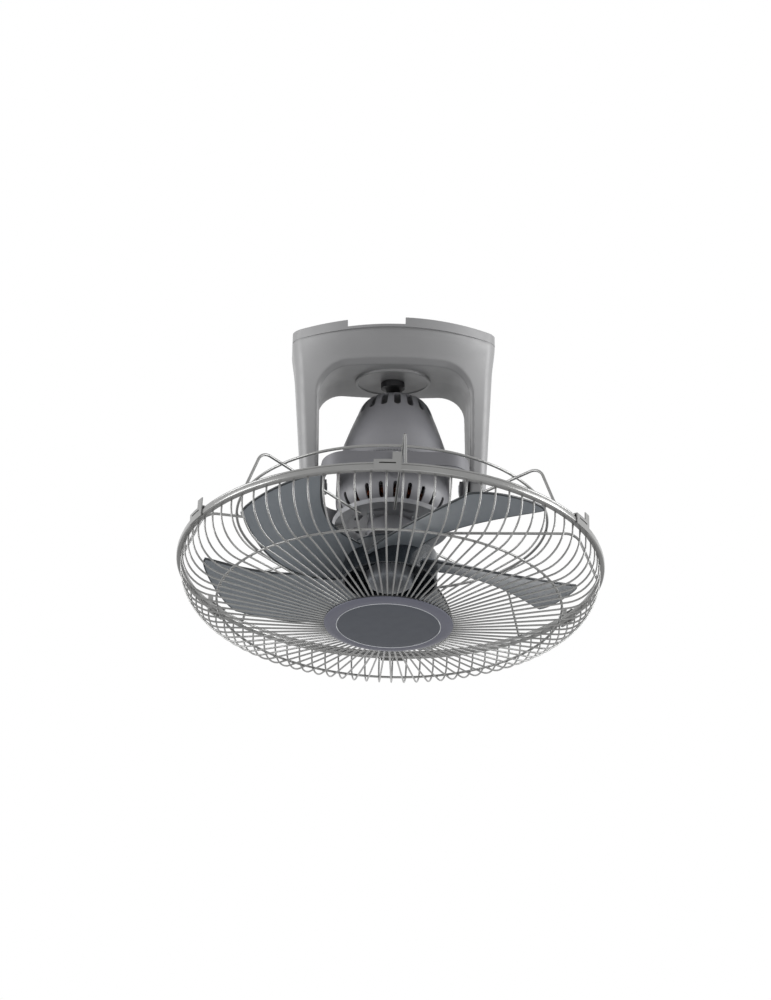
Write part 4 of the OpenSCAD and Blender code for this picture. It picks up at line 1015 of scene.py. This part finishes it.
def bent_line(a: Pair, corner: Pair, b: Pair, bend: float, steps: int) -> list[Triple]:
    """Line from a to b in the XZ plane that turns at the corner with an even bend.

    Args:
        a: first radius and height.
        corner: where the two straights would meet.
        b: last radius and height.
        bend: radius of the bend.
        steps: number of chords in the bend.
    Returns:
        Points of the line.
    """
    first, last, middle = Vector(a), Vector(b), Vector(corner)
    u, v = (middle - first).normalized(), (last - middle).normalized()
    turn = atan2(u.x * v.y - u.y * v.x, u.dot(v))
    start = middle - bend * tan(abs(turn) / 2) * u
    side = copysign(1, turn)
    centre = start + side * bend * Vector((-u.y, u.x))
    begin = degrees(atan2(u.y, u.x)) - side * 90
    curve = arc(tuple(centre), bend, begin, begin + degrees(turn), steps)
    return [(r, 0, h) for r, h in [a, *curve, b]]


def bead(name: str, place: Pair, half: Triple) -> Piece:
    """One weld bead: a flattened ball of a few dozen faces.

    Args:
        name: name of the piece.
        place: radius and height of its centre.
        half: its half-sizes outwards, across and up.
    Returns:
        The new object.
    """
    work = bmesh.new()
    bmesh.ops.create_icosphere(work, subdivisions=1, radius=1.0)
    points = [(place[0] + v.co.x * half[0], v.co.y * half[1], place[1] + v.co.z * half[2]) for v in work.verts]
    piece = new_object(name, points, [[v.index for v in f.verts] for f in work.faces])
    work.free()
    clean(piece, sharp=80)
    return piece


@dataclass
class FrontGuard(SubAssembly):
    """Radial wires from the badge, bent up into the rim, and the weld beads that hold them.

    A wire starts on a slope through the datum, a radius and height, turns where the slope reaches corner_r and
    goes on to its end. Beads sit where it crosses its ring and near its end.
    """

    body: str = "head"
    name: str = "front_wires"
    node: str = "front_guard_wires"
    count: int = 88
    first: float = 0.0
    waver: float = 0.0025
    wire_r: float = 1.0
    sides: int = 10
    start_r: float = 54.0
    datum: Pair = (67.4, -159.6)
    slope: float = 7.1
    corner_r: float = 219.5
    end: Pair = (219.5, -96.85)
    bend: float = 38.0
    bend_steps: int = 10
    ring_r: float = 180.0
    ring_lift: float = 1.2
    end_weld: Pair = (221.5, -99.1)
    weld_half: Triple = (1.9, 1.5, 1.3)

    def on_slope(self, radius: float, lift: float = 0.0) -> Pair:
        """Point of a wire's centre line on its straight run, or above it."""
        return radius, self.datum[1] + (radius - self.datum[0]) * tan(radians(self.slope)) + lift

    def build(self) -> None:
        """Makes the wires and their weld beads."""
        start, corner = self.on_slope(self.start_r), self.on_slope(self.corner_r)
        line = bent_line(start, corner, self.end, self.bend, self.bend_steps)
        ring = {"Count": self.count, "First_Turn": radians(self.first), "Waver": self.waver}
        self.repeat(swept_ring(), path(self.name, line), Paints.WIRE, "wire_grey", self.node,
                    Wire_Radius=self.wire_r * MM, Sides=self.sides, **ring)
        for number, place in enumerate((self.on_slope(self.ring_r, self.ring_lift), self.end_weld), 1):
            spot = bead(f"{self.name}_weld_{number}", place, self.weld_half)
            self.repeat(repeated_ring(), spot, Paints.WIRE, "wire_grey", **ring)


@dataclass
class RearGuard(FrontGuard):
    """Struts from the plate under the motor, bent down on to the rim, and their weld beads."""

    name: str = "rear_struts"
    node: str = "rear_guard_struts"
    count: int = 8
    first: float = 0.5
    waver: float = 0.0
    wire_r: float = 1.5
    sides: int = 14
    start_r: float = 50.0
    datum: Pair = (61.0, -50.8)
    slope: float = 3.4
    corner_r: float = 198.35
    end: Pair = (219.35, -94.9)
    bend: float = 17.0
    bend_steps: int = 14
    ring_r: float = 165.35
    ring_lift: float = 1.6
    end_weld: Pair = (220.8, -94.6)
    weld_half: Triple = (2.6, 2.2, 1.7)


@dataclass
class Rim(SubAssembly):
    """Rolled band that the wires' upper ends go into."""

    body: str = "head"
    radius: float = 225.0
    width: float = 6.8
    low: float = -101.5
    high: float = -95.5
    roll: float = 1.8
    lip: float = 1.0

    def build(self) -> None:
        """Makes the band as a closed rolled section."""
        r, inner, roll, lip = self.radius, self.radius - self.width, self.roll, self.lip
        section = [*arc((r - roll, self.low + roll), roll, 0, -90, 6),
                   *arc((inner + roll, self.low + roll), roll, -90, -180, 6),
                   *arc((inner + roll, self.high - roll), roll, 180, 90, 6),
                   *arc((r - lip, self.high - lip), lip, 90, 0, 4)]
        self.add(turned("rim", section, 240), Paints.WIRE, "wire_grey", "rim_band")


@dataclass
class Badge(SubAssembly):
    """Round plate over the wires' inner ends: a flat bare face, a bright line and a bevelled border."""

    body: str = "head"
    radius: float = 67.4
    inner: float = 51.0
    line_r: float = 54.2
    line_w: float = 0.9
    edge_h: float = -160.76
    seat: float = 1.6
    crown: float = 0.6
    rings: int = 12

    def build(self) -> None:
        """Makes the border, the bright line and the face."""
        r, e, line = self.radius, self.edge_h, self.line_r
        inside, outside, seat = line - self.line_w / 2, line + self.line_w / 2, e - self.seat
        border = [(self.inner, seat), (r - 1.4, e), (r - 0.5, e - 0.1), (r, e - 0.7), (r - 0.4, e - 1.5),
                  (r - 4.5, e - 2.7), (r - 8.0, e - 3.0), (outside, e - 2.7), (outside, seat - 0.6),
                  (self.inner, seat - 0.6)]
        self.add(turned("badge_border", border), Paints.BADGE, "badge_slate", "badge_cap")
        bright = [(inside, e - 2.0), (outside, e - 2.0), (outside, e - 2.85), (line, e - 3.1), (inside, e - 2.85)]
        self.add(turned("badge_line", bright), Paints.TRIM, "trim_bright", "badge_trim")
        shares = [k / self.rings for k in range(1, self.rings)]
        face = [(AXIS_R, e - 3.2), *((line * s, e - 2.6 - self.crown * sqrt(1 - s**2)) for s in shares),
                (inside, e - 2.6), (inside, e - 2.0), (AXIS_R, e - 2.0)]
        self.add(turned("badge_face", face), Paints.FACE, "badge_slate")


# ---- Impeller ----


@dataclass
class Impeller(SubAssembly):
    """Five swept blades of tinted plastic on a domed hub, each with a rolled edge in painted shade."""

    body: str = "rotor"
    count: int = 5
    first: float = 16.0
    root_r: float = 48.8
    tip_r: float = 200.0
    tip_round: float = 3.0
    root_w: float = 60.0
    tip_w: float = 100.0
    root_pitch: float = 12.0
    tip_pitch: float = 9.0
    twist: float = 7.0
    sweep: float = 35.0
    root_depth: float = 97.0
    tip_depth: float = 94.5
    belly: float = 7.5
    camber: float = 4.0
    thickness: float = 2.2
    edge_r: float = 1.35
    hub_r: float = 50.0
    hub_low: float = -113.5
    hub_top: float = -84.0
    hub_wall: float = 2.4
    hub_edge: float = 0.6
    bore_r: float = 11.2
    dome: float = 14.0
    spans: int = 28
    chords: int = 22

    def point(self, u: float, s: float, side: float) -> Triple:
        """Point of a blade.

        Args:
            u: 0 at the root and 1 at the tip.
            s: 0 at the trailing edge and 1 at the leading edge.
            side: distance from the middle of the blade's thickness, in half thicknesses.
        Returns:
            The point in the head's frame.
        """
        across = 2 * s - 1
        reach = self.tip_r - self.tip_round * abs(across) ** 8
        r = self.root_r + u * (reach - self.root_r)
        a = across / 2 * (self.root_w + (self.tip_w - self.root_w) * u**0.8)
        pitch = radians(self.root_pitch + (self.tip_pitch - self.root_pitch) * u + self.twist * sin(pi * u**0.7))
        h = -self.root_depth - (self.tip_depth - self.root_depth) * u - self.belly * sin(pi * u)
        h += a * sin(pitch) + self.camber * (1 - across**2) * (1 - u / 2) + side * self.thickness / 2
        turn = a * cos(pitch) / r - radians(self.sweep) * (1 - u) ** 1.15
        return (r * cos(turn), r * sin(turn), h)

    def blade(self) -> Piece:
        """One blade as a closed skin.

        Returns:
            The blade, with the head's frame at the origin.
        """
        rows, columns = self.spans + 1, self.chords + 1
        ease = [0.5 - 0.5 * cos(pi * j / self.chords) for j in range(columns)]
        points = [self.point(i / self.spans, ease[j], side)
                  for side in (1, -1) for i in range(rows) for j in range(columns)]
        offset = rows * columns
        top = grid_faces(rows, columns)
        low = [tuple(offset + v for v in reversed(f)) for f in top]
        rim = [i * columns for i in range(rows)] + [(rows - 1) * columns + j for j in range(1, columns)]
        rim += [i * columns + columns - 1 for i in range(rows - 2, -1, -1)] + list(range(columns - 2, 0, -1))
        wall = [(a, b, offset + b, offset + a) for a, b in zip(rim, rim[1:] + rim[:1])]
        piece = new_object("blades", points, top + low + wall)
        clean(piece)
        return piece

    def edge(self) -> Piece:
        """Line round one blade's free edges, from root to tip and back.

        Returns:
            The line, with the head's frame at the origin.
        """
        out = [self.point(i / self.spans, 0, 0) for i in range(1, self.spans + 1)]
        tip = [self.point(1, j / self.chords, 0) for j in range(1, self.chords)]
        back = [self.point(i / self.spans, 1, 0) for i in range(self.spans, 0, -1)]
        return path("blade_edges", out + tip + back)

    def hub(self) -> Piece:
        """Cup-shaped hub with a domed back.

        Returns:
            The hub in its place.
        """
        r, low, top, wall = self.hub_r, self.hub_low, self.hub_top, self.hub_wall
        outer = [(r * cos(radians(a)), top + self.dome * sin(radians(a))) for a in range(0, 86, 5)]
        inner = [(p - wall, h - wall) for p, h in reversed(outer)]
        profile = [(r - wall, low), (r - self.hub_edge, low), (r, low + self.hub_edge), *outer,
                   (self.bore_r, top + self.dome), (self.bore_r, top + self.dome - wall), *inner]
        return turned("hub_shell", profile, 96)

    def build(self) -> None:
        """Makes the blades, their edges and the hub."""
        ring = {"Count": self.count, "First_Turn": radians(self.first)}
        self.repeat(repeated_ring(), self.blade(), Paints.BLADE, "slate_clear", "impeller", **ring)
        # the edges' dark colour is painted shade
        self.repeat(swept_ring(), self.edge(), Paints.EDGE, "slate_clear", Wire_Radius=self.edge_r * MM,
                    Sides=10, **ring)
        self.add(self.hub(), Paints.HUB, "smoke_clear")


@dataclass
class Knob(SubAssembly):
    """Domed knob that holds the impeller, with finger ribs round its skirt."""

    body: str = "rotor"
    radius: float = 23.6
    top: float = -96.15
    neck_r: float = 13.0
    neck_h: float = 3.0
    skirt_h: float = 17.0
    dome_h: float = 7.0
    ribs: int = 12
    rib_r: float = 1.2

    def build(self) -> None:
        """Makes the knob and its ribs."""
        r, low, shoulder = self.radius, self.top - self.skirt_h, self.top - self.neck_h
        turns = [radians(a) for a in range(0, 91, 10)]
        dome = [(max(r * cos(t), AXIS_R), low - self.dome_h * sin(t)) for t in turns]
        profile = [(AXIS_R, self.top), (self.neck_r, self.top), (self.neck_r, shoulder), (r - 0.8, shoulder - 0.4),
                   (r, shoulder - 1.2), *dome]
        self.add(turned("knob", profile, 96, closed=False), Paints.KNOB, "smoke_clear", "impeller_knob")
        base = path("knob_ribs", [(r, 0, shoulder - 1.5), (r, 0, low)])
        self.repeat(swept_ring(), base, Paints.KNOB, "smoke_clear", Count=self.ribs,
                    Wire_Radius=self.rib_r * MM, Sides=8)


# ---- Studio ----


@dataclass
class Studio:
    """Camera, floor, lamps and the plain surroundings.

    A lamp has a name, a place and a size in metres and a power in watts. Their aim is in metres too.
    """

    lens: float = 76.9
    camera_at: Triple = (-134.1, -2195.5, -831.7)
    camera_aim: Triple = (-8.0, 0.0, -179.6)
    floor_z: float = -2450.0
    floor_half: float = 6000.0
    floor_glow: float = 0.3
    daylight: float = 0.47
    lamp_aim: Triple = (0.0, 0.0, -0.17)
    lamps: tuple[tuple[str, Triple, float, float], ...] = (
        ("left", (-2.3, -0.4, 0.1), 1.4, 42.0), ("right", (2.3, -0.4, 0.1), 1.4, 52.0),
        ("low", (0.1, -1.3, -1.7), 1.6, 8.0),
    )

    def stand(self, name: str, data: bpy.types.ID, at: Vector, aim: Vector) -> Piece:
        """Stands a camera or a lamp in the scene.

        Args:
            name: name of the object.
            data: the camera or lamp.
            at: its place in metres.
            aim: the point that it faces.
        Returns:
            The object.
        """
        item = linked(name, data)
        item.location = at
        item.rotation_euler = (aim - at).to_track_quat("-Z", "Y").to_euler()
        return item

    def camera(self) -> None:
        """Puts the camera at the photograph's viewing angle."""
        data = bpy.data.cameras.new("camera")
        data.lens, data.sensor_width, data.sensor_fit = self.lens, 36.0, "AUTO"
        data.clip_start, data.clip_end = 0.05, 60.0
        at, aim = Vector(self.camera_at) * MM, Vector(self.camera_aim) * MM
        bpy.context.scene.camera = self.stand("camera", data, at, aim)

    def lamp(self, name: str, place: Triple, size: float, power: float) -> None:
        """Adds a soft square lamp that faces the fan.

        Args:
            name: name of the lamp.
            place: its place in metres.
            size: its width in metres.
            power: its power in watts.
        """
        data = bpy.data.lights.new(name, "AREA")
        data.shape, data.size, data.energy = "SQUARE", size, power
        self.stand(name, data, Vector(place), Vector(self.lamp_aim))

    def floor(self) -> None:
        """A pale floor well below the fan, a little brighter to the camera."""
        s, z = self.floor_half, self.floor_z
        floor = new_object("floor", [(-s, -s, z), (s, -s, z), (s, s, z), (-s, s, z)], [(0, 1, 2, 3)])
        sheet = ShaderSheet("pale_floor")
        tint = sheet.blend(sheet.noise(400, 2.0), linear("ececec"), linear("f4f4f4"))
        seen = sheet.add("ShaderNodeLightPath").outputs["Is Camera Ray"]
        sheet.fill(sheet.shader, Base_Color=tint, Roughness=0.8, Emission_Color=(1, 1, 1, 1),
                   Emission_Strength=sheet.maths("MULTIPLY", seen, self.floor_glow))
        floor.data.materials.append(sheet.material)

    def world(self) -> None:
        """White to the camera and in reflections, softer as light."""
        world = bpy.data.worlds.new("surroundings")
        bpy.context.scene.world = world
        world.use_nodes = True
        sheet = NodeSheet(world.node_tree)
        rays = sheet.add("ShaderNodeLightPath").outputs
        seen = rays["Is Camera Ray"]
        for kind in ("Is Glossy Ray", "Is Transmission Ray"):
            seen = sheet.maths("MAXIMUM", seen, rays[kind])
        power = sheet.add("ShaderNodeMapRange", Value=seen, To_Min=self.daylight, To_Max=1.0)
        sheet.fill(sheet.nodes["Background"], Strength=power.outputs["Result"], Color=(1, 1, 1, 1))

    def build(self) -> None:
        """Sets the whole scene up."""
        self.camera()
        self.floor()
        self.world()
        for lamp in self.lamps:
            self.lamp(*lamp)
        bpy.context.scene.view_settings.view_transform = "Standard"


def main() -> None:
    """Builds the fan's looks part by part."""
    logging.basicConfig(level=logging.INFO, format="%(name)s: %(message)s")
    NodeDresser().build()
    for part in (Yoke(), PivotDisc(), Bell(), Rim(), FrontGuard(), RearGuard(), Badge(), Impeller(), Knob()):
        part.build()
        for piece in part.made:
            LOG.info("%s on %s: %d faces", piece.name, part.body, len(piece.data.polygons))
    Studio().build()


if __name__ == "__main__":
    main()
